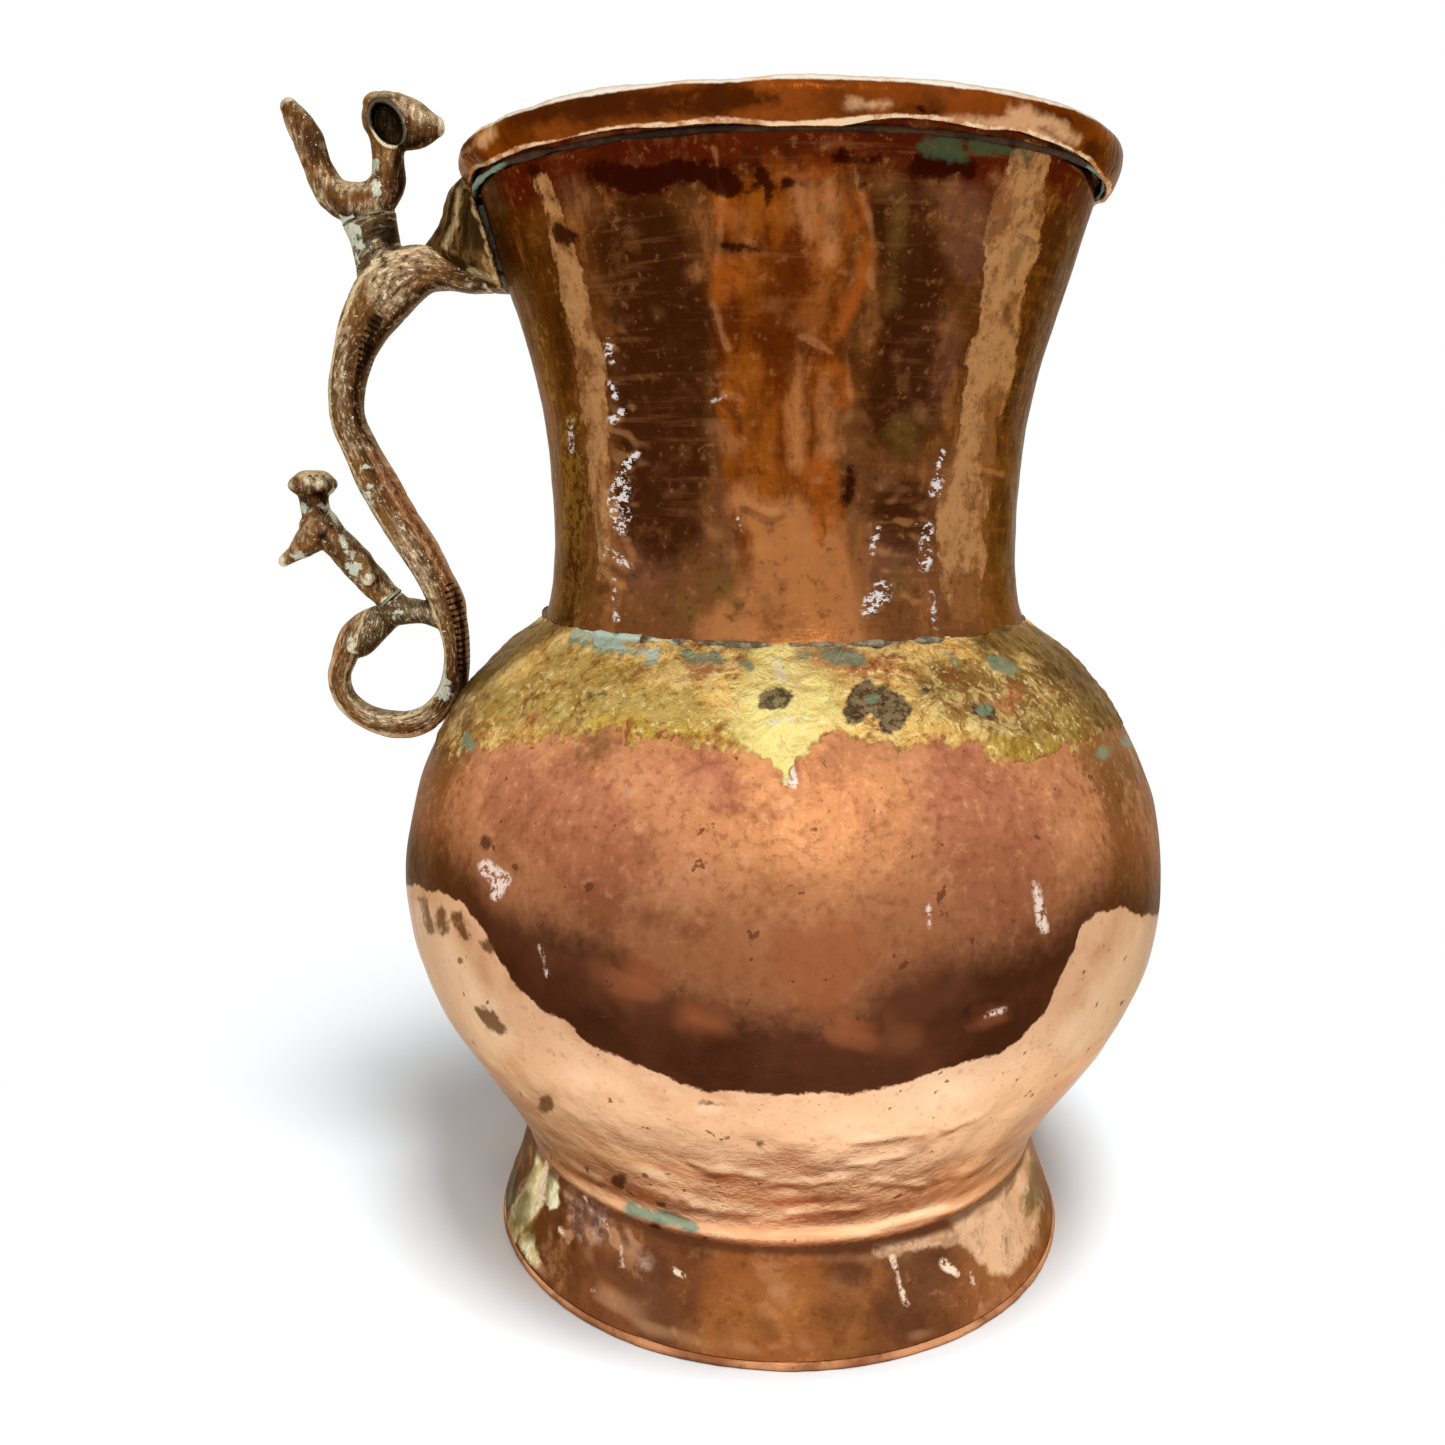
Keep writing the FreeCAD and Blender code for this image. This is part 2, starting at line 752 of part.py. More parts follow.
handle_shape = bar(bar_course_shares, s.bar_width, s.bar_thickness, bar_round_share)
serpent_head = bar(
    serpent_course_shares, s.serpent_width, s.serpent_thickness, limb_round_share
)
bridge = bar(bridge_course_shares, s.bridge_width, s.bridge_thickness, limb_round_share)
stem = bar(stem_course_shares, s.stem_width, s.stem_thickness, limb_round_share)
serpent_eye_shares = (0.779, 0.205)
eyes = []
for side in (1, -1):
    eye = Part.makeSphere(s.serpent_eye_radius.value)
    eye.Placement.Base = handle_place(*serpent_eye_shares).add(
        SIDEWAYS * (side * s.serpent_eye_reach.value)
    )
    eyes.append(eye)
perch_height = s.bridge_width.value
perch = joint_disc(crested_seat, s.crested_joint_radius, -perch_height, perch_height)
headroom = s.stem_width.value
handle_shape = handle_shape.fuse([serpent_head, bridge, stem, perch] + eyes)
above_thumb_joint = joint_disc(thumb_seat, s.handle_depth, 0, headroom)
crested_socket = joint_disc(crested_seat, s.crested_joint_radius, 0, headroom)
handle_shape = handle_shape.cut(
    [
        above_thumb_joint,
        crested_socket,
        filled(neck_line, s.leaf_standoff),
        filled(bowl_line, s.ring_standoff),
    ]
)
handle = made("handle", handle_shape.removeSplitter())

# Leaf: level sections, a bowed outer side and a straight inner side that the neck and the band cut to their own
# curves. The shares are of the leaf's rise, its width, its depth and the straight part of its side.

leaf_section_shares = [
    (0.000, 0.520, 1.00, 0.55),
    (0.200, 0.800, 1.00, 0.50),
    (0.360, 0.970, 0.93, 0.46),
    (0.500, 1.000, 0.78, 0.44),
    (0.700, 0.840, 0.70, 0.44),
    (0.870, 0.560, 0.66, 0.46),
    (1.000, 0.280, 0.57, 0.50),
]
leaf_foot_height = leaf_level - s.leaf_foot_drop
leaf_root = neck_line.radius_at(leaf_foot_height.value) - s.neck_wall.value * 2
sections = []
for rise_share, width_share, depth_share, side_share in leaf_section_shares:
    height = (leaf_foot_height + s.leaf_rise * rise_share).value
    half_width = s.leaf_width.value * width_share / 2
    root = -leaf_root
    nose = -(leaf_root + s.leaf_depth.value * depth_share)
    shoulder = nose + (root - nose) * side_share
    corners = [
        Vector(root, -half_width, height),
        Vector(shoulder, -half_width, height),
        Vector(nose, 0, height),
        Vector(shoulder, half_width, height),
        Vector(root, half_width, height),
    ]
    sections.append(
        Part.Wire(
            [
                Part.makeLine(corners[0], corners[1]),
                Part.Arc(corners[1], corners[2], corners[3]).toShape(),
                Part.makeLine(corners[3], corners[4]),
                Part.makeLine(corners[4], corners[0]),
            ]
        )
    )
leaf_block = Part.makeLoft(sections, True, False)
leaf_shape = leaf_block.cut(
    [filled(neck_line, s.leaf_standoff), filled(band_outside, s.band_clearance), handle_shape]
)
handle_leaf = made("handle_leaf", leaf_shape)
leaf_solder_shares = (0.11, 0.72)
leaf_solder_places = []
for rise_share in leaf_solder_shares:
    height = leaf_foot_height + s.leaf_rise * rise_share
    radius = flare_radius + s.mouth_reach * (height - flare_height) / s.mouth_rise
    leaf_solder_places.append((radius, height))
leaf_solder_line = Line(leaf_solder_places, [None])
leaf_solder_sweep = s.leaf_solder_width / mouth_radius * (HALF_TURN / math.pi)
leaf_solder = turned(
    "leaf_solder",
    profile_sketch("leaf_solder_profile", leaf_solder_line.sheet(-s.leaf_standoff)),
    leaf_solder_sweep,
    HALF_TURN - leaf_solder_sweep / 2,
)

# Scroll solder: a round pad of solder that fills the gap between the scroll ring's seat and the shoulder

scroll_seat = Vector(-bowl_line.radius_at(scroll_seat_height.value), 0, scroll_seat_height.value)
pad = Part.makeSphere(s.scroll_solder_radius.value, scroll_seat)
pad = pad.common(filled(bowl_line, s.ring_standoff)).cut(filled(bowl_line, ZERO))
scroll_solder = made("scroll_solder", pad)


# Birds: a place on a bird is given as shares of its height, out and up from its joint, and a thickness as a share
# of its body


def bird_place(seat, height, out_share, up_share):
    """A place on a bird."""
    return seat.Base.add(Vector(-height.value * out_share, 0, height.value * up_share))


def bird_limb(seat, height, body, course_shares):
    """A bird's body and neck, or its tail, as a round limb."""
    places = [bird_place(seat, height, row[0], row[1]) for row in course_shares]
    return limb(places, [row[2] * body.value / 2 for row in course_shares])


def beak(root, tip, root_radius, tip_radius):
    """A blunt cone from a bird's head."""
    along = tip.sub(root)
    cone = Part.makeCone(root_radius.value, tip_radius.value, along.Length, root, along)
    return cone.fuse(Part.makeSphere(tip_radius.value, tip))


thumb_bird_body_shares = [
    (0.740, 1.012, 0.31),
    (0.668, 0.836, 0.43),
    (0.544, 0.556, 0.47),
    (0.456, 0.356, 0.58),
    (0.348, 0.200, 0.78),
    (0.156, 0.120, 1.00),
    (-0.052, 0.168, 1.00),
    (-0.172, 0.328, 0.89),
    (-0.184, 0.516, 0.73),
    (-0.184, 0.656, 0.76),
    (-0.186, 0.800, 0.90),
]
thumb_bird_head_shares = (-0.188, 0.896)
thumb_bird_beak_root_shares = (-0.276, 0.908)
thumb_bird_beak_tip_shares = (-0.700, 0.852)
crested_bird_body_shares = [
    (-0.030, -0.033, 0.86),
    (0.074, 0.067, 0.90),
    (0.222, 0.244, 0.97),
    (0.378, 0.426, 1.02),
    (0.526, 0.596, 0.98),
    (0.637, 0.759, 0.84),
    (0.667, 0.900, 0.76),
    (0.667, 1.010, 0.80),
]
crested_bird_head_shares = (0.630, 0.659)
crested_bird_beak_root_shares = (0.611, 0.641)
crested_bird_beak_tip_shares = (0.970, 0.360)
crest_shares = (0.667, 1.055)


def bird_point(seat, height, place_shares):
    """A place on a bird, from a pair of shares."""
    return bird_place(seat, height, *place_shares)


head_place = bird_point(thumb_seat, s.thumb_bird_height, thumb_bird_head_shares)
beak_root = bird_point(thumb_seat, s.thumb_bird_height, thumb_bird_beak_root_shares)
beak_tip = bird_point(thumb_seat, s.thumb_bird_height, thumb_bird_beak_tip_shares)
bird = bird_limb(thumb_seat, s.thumb_bird_height, s.thumb_bird_body, thumb_bird_body_shares)
bird = bird.fuse(
    [
        Part.makeSphere(s.thumb_bird_head_radius.value, head_place),
        beak(beak_root, beak_tip, s.thumb_bird_beak_radius, s.thumb_bird_beak_tip),
        joint_disc(
            thumb_seat, s.thumb_joint_radius, s.joint_gap.value, s.thumb_joint_radius.value
        ),
    ]
)
sockets = []
for side in (1, -1):
    eye_floor = s.thumb_bird_head_radius.value - s.thumb_bird_eye_depth.value
    floor_place = head_place.add(SIDEWAYS * (side * eye_floor))
    sockets.append(
        Part.makeCylinder(
            s.thumb_bird_eye_radius.value,
            s.thumb_bird_head_radius.value,
            floor_place,
            SIDEWAYS * side,
        )
    )
below_thumb_joint = joint_disc(
    thumb_seat, s.handle_depth, s.joint_gap.value - headroom, headroom
)
bird = bird.cut(sockets + [below_thumb_joint])
thumb_bird = made("thumb_bird", bird.removeSplitter())
thumb_bird_solder = made(
    "thumb_bird_solder", joint_disc(thumb_seat, s.thumb_joint_radius, 0, s.joint_gap.value)
)

head_place = bird_point(crested_seat, s.crested_bird_height, crested_bird_head_shares)
beak_root = bird_point(crested_seat, s.crested_bird_height, crested_bird_beak_root_shares)
beak_tip = bird_point(crested_seat, s.crested_bird_height, crested_bird_beak_tip_shares)
crest_squash = FreeCAD.Matrix()
crest_squash.scale(1, 1, s.crest_height.value / (s.crest_radius.value * 2))
crest = Part.makeSphere(s.crest_radius.value).transformGeometry(crest_squash)
crest.translate(bird_point(crested_seat, s.crested_bird_height, crest_shares))
bird = bird_limb(
    crested_seat, s.crested_bird_height, s.crested_bird_body, crested_bird_body_shares
)
bird = bird.fuse(
    [
        Part.makeSphere(s.crested_bird_head_radius.value, head_place),
        beak(beak_root, beak_tip, s.crested_bird_beak_radius, s.crested_bird_beak_tip),
        crest,
    ]
)
below_crested_joint = joint_disc(
    crested_seat, s.crested_bird_body, s.joint_gap.value - headroom, headroom
)
bird = bird.cut(below_crested_joint).cut(handle.Shape)
crested_bird = made("crested_bird", bird)
crested_bird_solder = made(
    "crested_bird_solder", joint_disc(crested_seat, s.crested_joint_radius, 0, s.joint_gap.value)
)

doc.recompute()

# The pieces, each checked to be one sound solid and written under its own label

pieces = [
    bowl,
    neck,
    neck_seam_braze,
    neck_solder,
    shoulder_braze,
    rim_band,
    rim_wire,
    rim_solder,
    foot_ring,
    foot_seam_braze,
    foot_edge_wire,
    foot_solder,
    handle,
    handle_leaf,
    leaf_solder,
    scroll_solder,
    thumb_bird,
    thumb_bird_solder,
    crested_bird,
    crested_bird_solder,
]
for piece in pieces:
    piece.Label = piece.Name
for item in doc.Objects:
    if "Invalid" in item.State or "Error" in item.State:
        raise RuntimeError("%s did not build" % item.Label)
for piece in pieces:
    if piece.Shape.isNull() or not piece.Shape.isValid() or len(piece.Shape.Solids) != 1:
        raise RuntimeError("%s is not one sound solid" % piece.Label)
os.makedirs("parts", exist_ok=True)
for piece in pieces:
    piece.Shape.exportStep("parts/%s.step" % piece.Label)
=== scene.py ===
import json
import math

import bmesh
import bpy
import numpy as np
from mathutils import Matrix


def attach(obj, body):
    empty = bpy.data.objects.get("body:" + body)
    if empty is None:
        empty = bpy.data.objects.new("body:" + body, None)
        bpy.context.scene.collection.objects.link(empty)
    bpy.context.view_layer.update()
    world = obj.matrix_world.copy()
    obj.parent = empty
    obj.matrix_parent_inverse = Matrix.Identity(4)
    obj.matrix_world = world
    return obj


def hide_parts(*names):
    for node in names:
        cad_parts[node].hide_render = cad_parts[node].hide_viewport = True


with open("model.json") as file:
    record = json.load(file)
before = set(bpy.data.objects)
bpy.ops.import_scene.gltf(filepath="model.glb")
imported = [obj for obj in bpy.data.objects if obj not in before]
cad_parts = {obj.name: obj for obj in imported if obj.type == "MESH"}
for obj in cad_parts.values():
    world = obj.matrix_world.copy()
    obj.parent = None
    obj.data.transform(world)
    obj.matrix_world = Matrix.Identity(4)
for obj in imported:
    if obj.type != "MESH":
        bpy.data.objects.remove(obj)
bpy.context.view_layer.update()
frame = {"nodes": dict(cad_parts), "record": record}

MM = 0.001
FRAME_SIDE = 1445  # pixels of the photograph's frame
FOCAL = 1305.0  # pixels
CAMERA_PLACE = (-15.15, -329.7, 200.2)  # millimetres
CAMERA_DIP = math.radians(11.70)
EDGE_TINT = (0.62, 0.50, 0.38, 1)  # what a metal mirrors at a grazing look
NOTCH_SPACING = 1.5  # millimetres along the handle's bar

# Mesh helpers


def photo_place(points):
    """Where points, in millimetres, fall in the photograph: a pinhole view with the camera's height, dip and
    focal length. Returns columns and rows of the 1445 px frame."""
    dx = points[..., 0] - CAMERA_PLACE[0]
    dy = points[..., 1] - CAMERA_PLACE[1]
    dz = points[..., 2] - CAMERA_PLACE[2]
    depth = dy * math.cos(CAMERA_DIP) - dz * math.sin(CAMERA_DIP)
    rise = dy * math.sin(CAMERA_DIP) + dz * math.cos(CAMERA_DIP)
    middle = FRAME_SIDE / 2
    return middle + FOCAL * dx / depth, middle - FOCAL * rise / depth


def ripple(points, wavelength, seed, waves=28):
    """An even undulation between about -1 and 1: plane waves of one length in many directions, added up."""
    rng = np.random.default_rng(seed)
    ways = rng.normal(size=(waves, 3))
    ways /= np.linalg.norm(ways, axis=1)[:, None]
    ways *= (2 * math.pi / wavelength) * rng.uniform(0.7, 1.3, waves)[:, None]
    phases = rng.uniform(0, 2 * math.pi, waves)
    total = np.zeros(points.shape[:-1])
    for way, phase in zip(ways, phases):
        total += np.cos(points @ way + phase)
    return total / math.sqrt(waves / 2) * 0.6


def seen_place(points):
    """Where points fall in the photograph, with the back of the vessel folded onto its front, and shaken there
    by a slow undulation so that the back isn't a plain mirror image."""
    folded = points.copy()
    folded[..., 1] = -np.abs(points[..., 1])
    columns, rows = photo_place(folded)
    behind = np.clip(points[..., 1] / 40, 0, 1)
    return columns + behind * 40 * ripple(points, 80, 91), rows + behind * 10 * ripple(points, 60, 92)


def soft_step(values, low, high):
    """Nought below low, one above high, smooth between. Low may be the larger."""
    t = np.clip((values - low) / (high - low), 0, 1)
    return t * t * (3 - 2 * t)


def smooth_line(rows, count, weights=None):
    """A smooth run through the rows: a cubic with the slopes of its neighbours, taken at places as close together
    as the weights of its runs ask."""
    rows = np.asarray(rows, float)
    steps = np.linalg.norm(np.diff(rows[:, :2], axis=0), axis=1)
    knots = np.concatenate([[0], np.cumsum(steps)])
    slopes = np.gradient(rows, knots, axis=0)
    shares = np.ones(len(steps)) if weights is None else np.asarray(weights, float)
    wanted = np.concatenate([[0], np.cumsum(steps * shares)])
    places = np.interp(np.linspace(0, wanted[-1], count), wanted, knots)
    piece = np.clip(np.searchsorted(knots, places, side="right") - 1, 0, len(rows) - 2)
    span = (knots[piece + 1] - knots[piece])[:, None]
    t = (places - knots[piece])[:, None] / span
    return (
        rows[piece] * (2 * t**3 - 3 * t**2 + 1)
        + slopes[piece] * span * (t**3 - 2 * t**2 + t)
        + rows[piece + 1] * (3 * t**2 - 2 * t**3)
        + slopes[piece + 1] * span * (t**3 - t**2)
    )


SHOWN_ANGLE = 96  # degrees to each side of the front, where a turned sheet's places stand closer together


def round_places(front, back):
    """Azimuths round the axis, closer together on the side that the photograph shows."""
    reach = math.radians(SHOWN_ANGLE)
    shown = np.linspace(-reach, reach, front, endpoint=False)
    hidden = np.linspace(reach, 2 * math.pi - reach, back, endpoint=False)
    return np.concatenate([shown, hidden])


def round_points(profile, azimuths):
    """A profile of radius and height carried round the axis: x = r sin a, y = -r cos a."""
    x = profile[:, :1] * np.sin(azimuths)
    y = -profile[:, :1] * np.cos(azimuths)
    z = np.repeat(profile[:, 1:2], len(azimuths), axis=1)
    return np.stack([x, y, z], axis=-1)


def outward(profile):
    """The unit normals of a profile in its own plane, to the right of its run."""
    run = np.gradient(profile, axis=0)
    normal = np.stack([run[:, 1], -run[:, 0]], axis=-1)
    return normal / np.maximum(np.linalg.norm(normal, axis=1), 1e-9)[:, None]


def net(rows, columns, wrap_rows):
    """The four-sided faces of a grid of points that closes along its columns, and along its rows where asked."""
    i = np.arange(rows if wrap_rows else rows - 1)
    i, j = np.meshgrid(i, np.arange(columns), indexing="ij")
    down, along = (i + 1) % rows, (j + 1) % columns
    faces = np.stack([i * columns + j, down * columns + j, down * columns + along, i * columns + along])
    return faces.reshape(4, -1).T.tolist()


def closed(points, poled):
    """The points and faces of a closed surface from a grid. With poles, the first and last rows are one point
    each, joined to their neighbours by fans."""
    rows, columns = points.shape[:2]
    if not poled:
        return points.reshape(-1, 3), net(rows, columns, True)
    count = (rows - 2) * columns
    ends = [points[0].mean(axis=0), points[-1].mean(axis=0)]
    vertices = np.concatenate([points[1:-1].reshape(-1, 3), ends])
    j = np.arange(columns)
    k = (j + 1) % columns
    first = np.stack([np.full(columns, count), j, k]).T.tolist()
    last = np.stack([np.full(columns, count + 1), count - columns + k, count - columns + j]).T.tolist()
    return vertices, net(rows - 2, columns, False) + first + last


def new_piece(name, vertices, faces):
    """A mesh object from millimetre points and faces, shaded smooth, with every face turned outward."""
    mesh = bpy.data.meshes.new(name)
    mesh.from_pydata((vertices * MM).tolist(), [], faces)
    mesh.validate()
    work = bmesh.new()
    work.from_mesh(mesh)
    bmesh.ops.recalc_face_normals(work, faces=work.faces)
    work.to_mesh(mesh)
    work.free()
    mesh.polygons.foreach_set("use_smooth", [True] * len(mesh.polygons))
    mesh.update()
    piece = bpy.data.objects.new(name, mesh)
    bpy.context.scene.collection.objects.link(piece)
    return piece


def points_of(mesh):
    """A mesh's points, in millimetres."""
    places = np.empty(len(mesh.vertices) * 3, np.float32)
    mesh.vertices.foreach_get("co", places)
    return places.reshape(-1, 3).astype(float) / MM


def normals_of(mesh):
    """A mesh's point normals."""
    ways = np.empty(len(mesh.vertices) * 3, np.float32)
    mesh.vertex_normals.foreach_get("vector", ways)
    return ways.reshape(-1, 3).astype(float)


def give(piece, **fields):
    """Numbers per point that the piece's finish reads, each under its own name."""
    for name, values in fields.items():
        layer = piece.data.attributes.new(name, "FLOAT", "POINT")
        layer.data.foreach_set("value", np.asarray(values, np.float32).ravel())


def strokes(columns, rows, marks):
    """How deep a place lies inside drawn strokes, in photograph pixels: half a stroke's width less the
    distance to its middle line, the largest of them all. A stroke is a list of column, row and width."""
    depth = np.full(columns.shape, -60.0)
    for mark in marks:
        mark = mark * 2 if len(mark) == 1 else mark
        for (x0, y0, w0), (x1, y1, w1) in zip(mark, mark[1:]):
            length = max((x1 - x0) ** 2 + (y1 - y0) ** 2, 1e-6)
            t = np.clip(((columns - x0) * (x1 - x0) + (rows - y0) * (y1 - y0)) / length, 0, 1)
            away = np.hypot(columns - x0 - t * (x1 - x0), rows - y0 - t * (y1 - y0))
            depth = np.maximum(depth, (w0 + t * (w1 - w0)) / 2 - away)
    return depth


def mark(piece, columns, rows, **drawn):
    """Drawn strokes as fields of a piece, each under its own name."""
    give(piece, **{name: strokes(columns, rows, marks) for name, marks in drawn.items()})


def below_line(columns, rows, line):
    """How far a place lies below a drawn line across the photograph, in pixels."""
    line = np.asarray(line, float)
    return rows - np.interp(columns, line[:, 0], line[:, 1])


def place_in(name, node_slot, *nodes):
    """Hangs a new piece on the pitcher in place of its nodes."""
    piece = bpy.data.objects[name]
    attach(piece, "root")
    if nodes:
        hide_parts(*nodes)
    return piece


# the direction of the painted light: dents leaning this way are painted lighter, dents leaning away darker
LIT_WAY = np.array([0.36, -0.36, 0.86])  # from the vessel to where its dents take their light


class Sheet:
    """A closed sheet turned round the axis: its outer line, an edge, its inner line back, and another edge. The
    dents, a depth along the sheet's normal for each place, move both faces alike."""

    def __init__(self, name, line, wall, azimuths, rows, inner_rows, dents, poled=False, weights=None):
        outer = smooth_line(line, rows, weights)
        normals = outward(outer)
        back = np.linspace(rows - 1, 0, inner_rows).round().astype(int)
        inner = outer[back] - normals[back] * wall
        if poled:
            outer[0, 0], inner[-1, 0] = 0, 0
        points = round_points(np.concatenate([outer, inner]), azimuths)
        depth = dents(points[:rows])
        ways = round_points(np.concatenate([normals, normals[back]]), azimuths)
        points += ways * np.concatenate([depth, depth[back]])[..., None]
        self.points, faces = closed(points, poled)
        self.piece = new_piece(name, self.points, faces)
        self.columns, self.rows = seen_place(self.points)
        lining = np.repeat(np.arange(rows + inner_rows) >= rows, len(azimuths)).astype(float)
        if poled:
            lining = np.concatenate([lining[len(azimuths) : -len(azimuths)], [0, 1]])
        give(self.piece, lean=self.lean(azimuths, 2 if poled else 0), lining=lining)

    def lean(self, azimuths, poles):
        """How much more than the undented sheet each place leans to the light: the part of its normal that isn't
        its row's mean, along the window's direction."""
        normals = normals_of(self.piece.data)
        normals = normals[: len(normals) - poles].reshape(-1, len(azimuths), 3)
        way = round_points(np.array([[1.0, 0.0]]), azimuths)
        plain = (normals * way).sum(axis=2).mean(axis=1)[:, None, None] * way
        plain = plain + normals[..., 2:].mean(axis=1, keepdims=True) * np.array([0, 0, 1])
        lean = (normals - plain) @ LIT_WAY
        return np.concatenate([lean.reshape(-1), np.zeros(poles)])


def limb(course, rows, sides=28, square=2.2, low_cap=0.5, high_cap=0.5):
    """A closed limb in the handle's plane. Its course gives x, z, width in the plane and thickness across it. A
    section is a super-ellipse of power square, and each end is closed by a cap, its bulge a share of its width."""
    line = smooth_line(course, rows)
    run = np.gradient(line[:, :2], axis=0)
    run /= np.linalg.norm(run, axis=1)[:, None]
    t = np.array([0.25, 0.5, 0.72, 0.88, 0.97, 1.0])
    bulge = np.sqrt(1 - t**2)
    bulge[-1] = 0
    low, high = line[0], line[-1]
    head = np.repeat(low[None], len(t), 0)
    head[:, :2] -= run[0] * (t * low[2] * low_cap)[:, None]
    head[:, 2:] *= bulge[:, None]
    tail = np.repeat(high[None], len(t), 0)
    tail[:, :2] += run[-1] * (t * high[2] * high_cap)[:, None]
    tail[:, 2:] *= bulge[:, None]
    line = np.concatenate([head[::-1], line, tail])
    run = np.concatenate([np.repeat(run[:1], len(t), 0), run, np.repeat(run[-1:], len(t), 0)])
    turn = np.linspace(0, 2 * math.pi, sides, endpoint=False)
    c = np.sign(np.cos(turn)) * np.abs(np.cos(turn)) ** (2 / square)
    s = np.sign(np.sin(turn)) * np.abs(np.sin(turn)) ** (2 / square)
    x = line[:, :1] - run[:, 1:] * line[:, 2:3] / 2 * c
    z = line[:, 1:2] + run[:, :1] * line[:, 2:3] / 2 * c
    y = line[:, 3:4] / 2 * s
    return np.stack([x, np.broadcast_to(y, x.shape), z], axis=-1)


def round_limb(course, rows, **settings):
    """A limb of round section: its course gives x, z and radius."""
    course = [(x, z, 2 * radius, 2 * radius) for x, z, radius in course]
    return limb(course, rows, square=2.0, **settings)


def ball(x, y, z, across, deep, high):
    """An ellipsoid: the centre plus its three half axes along the angles of a globe."""
    level = np.linspace(-math.pi / 2, math.pi / 2, 15)[:, None]
    turn = np.linspace(0, 2 * math.pi, 24, endpoint=False)
    px = x + across * np.cos(level) * np.cos(turn)
    py = y + deep * np.cos(level) * np.sin(turn)
    pz = z + high * np.sin(level) + 0 * turn
    return np.stack([px, py, pz], axis=-1)


def casting(name, limbs, grain, softness, shape):
    """Limbs run together as in one casting: closed shells remeshed at an even grain and softened, then shaped by a
    function of the points and their normals. Gives the piece its ridge field: how far each point stands out from
    the mean of its neighbours, in shares of the grain. Its facing, up and toward fields are its normal's parts
    across the handle's plane, upwards and to the vessel."""
    vertices, faces, count = [], [], 0
    for points in limbs:
        part_vertices, part_faces = closed(points, True)
        vertices.append(part_vertices)
        faces += [[corner + count for corner in face] for face in part_faces]
        count += len(part_vertices)
    rough = new_piece(name + "_rough", np.concatenate(vertices), faces)
    remesh = rough.modifiers.new("grain", "REMESH")
    remesh.mode = "VOXEL"
    remesh.voxel_size = grain * MM
    soften = rough.modifiers.new("soften", "SMOOTH")
    soften.factor, soften.iterations = 0.5, softness
    graph = bpy.context.evaluated_depsgraph_get()
    mesh = bpy.data.meshes.new_from_object(rough.evaluated_get(graph))
    mesh.name = name
    bpy.data.objects.remove(rough)
    places = shape(points_of(mesh), normals_of(mesh))
    mesh.vertices.foreach_set("co", (places * MM).astype(np.float32).ravel())
    mesh.polygons.foreach_set("use_smooth", [True] * len(mesh.polygons))
    mesh.update()
    normals = normals_of(mesh)
    edges = np.empty(len(mesh.edges) * 2, np.int32)
    mesh.edges.foreach_get("vertices", edges)
    edges = edges.reshape(-1, 2)
    number = np.bincount(edges.ravel(), minlength=len(places))[:, None]
    mean = np.zeros_like(places)
    for axis in range(3):
        mean[:, axis] = np.bincount(edges[:, 0], places[edges[:, 1], axis], len(places))
        mean[:, axis] += np.bincount(edges[:, 1], places[edges[:, 0], axis], len(places))
    ridge = ((places - mean / number) * normals).sum(axis=1) / grain
    for _ in range(3):
        spread = np.bincount(edges[:, 0], ridge[edges[:, 1]], len(places))
        spread += np.bincount(edges[:, 1], ridge[edges[:, 0]], len(places))
        ridge = (ridge + spread) / (1 + number[:, 0])
    piece = bpy.data.objects.new(name, mesh)
    bpy.context.scene.collection.objects.link(piece)
    give(piece, ridge=ridge, facing=np.abs(normals[:, 1]), up=normals[:, 2], toward=normals[:, 0])
    return piece, places


# Finishes: shader maths as Python expressions


class Wire:
    """A socket that can be used in sums."""

    def __init__(self, finish, socket):
        self.finish, self.socket = finish, socket

    def sum(self, operation, other=None, turned=False):
        values = [self] if other is None else [other, self] if turned else [self, other]
        return self.finish.node("ShaderNodeMath", {"operation": operation}, values)

    def __add__(self, other):
        return self.sum("ADD", other)

    def __radd__(self, other):
        return self.sum("ADD", other)

    def __sub__(self, other):
        return self.sum("SUBTRACT", other)

    def __rsub__(self, other):
        return self.sum("SUBTRACT", other, True)

    def __mul__(self, other):
        return self.sum("MULTIPLY", other)

    def __rmul__(self, other):
        return self.sum("MULTIPLY", other)

    def over(self, other):
        return self.sum("MAXIMUM", other)

    def sine(self):
        return self.sum("SINE")


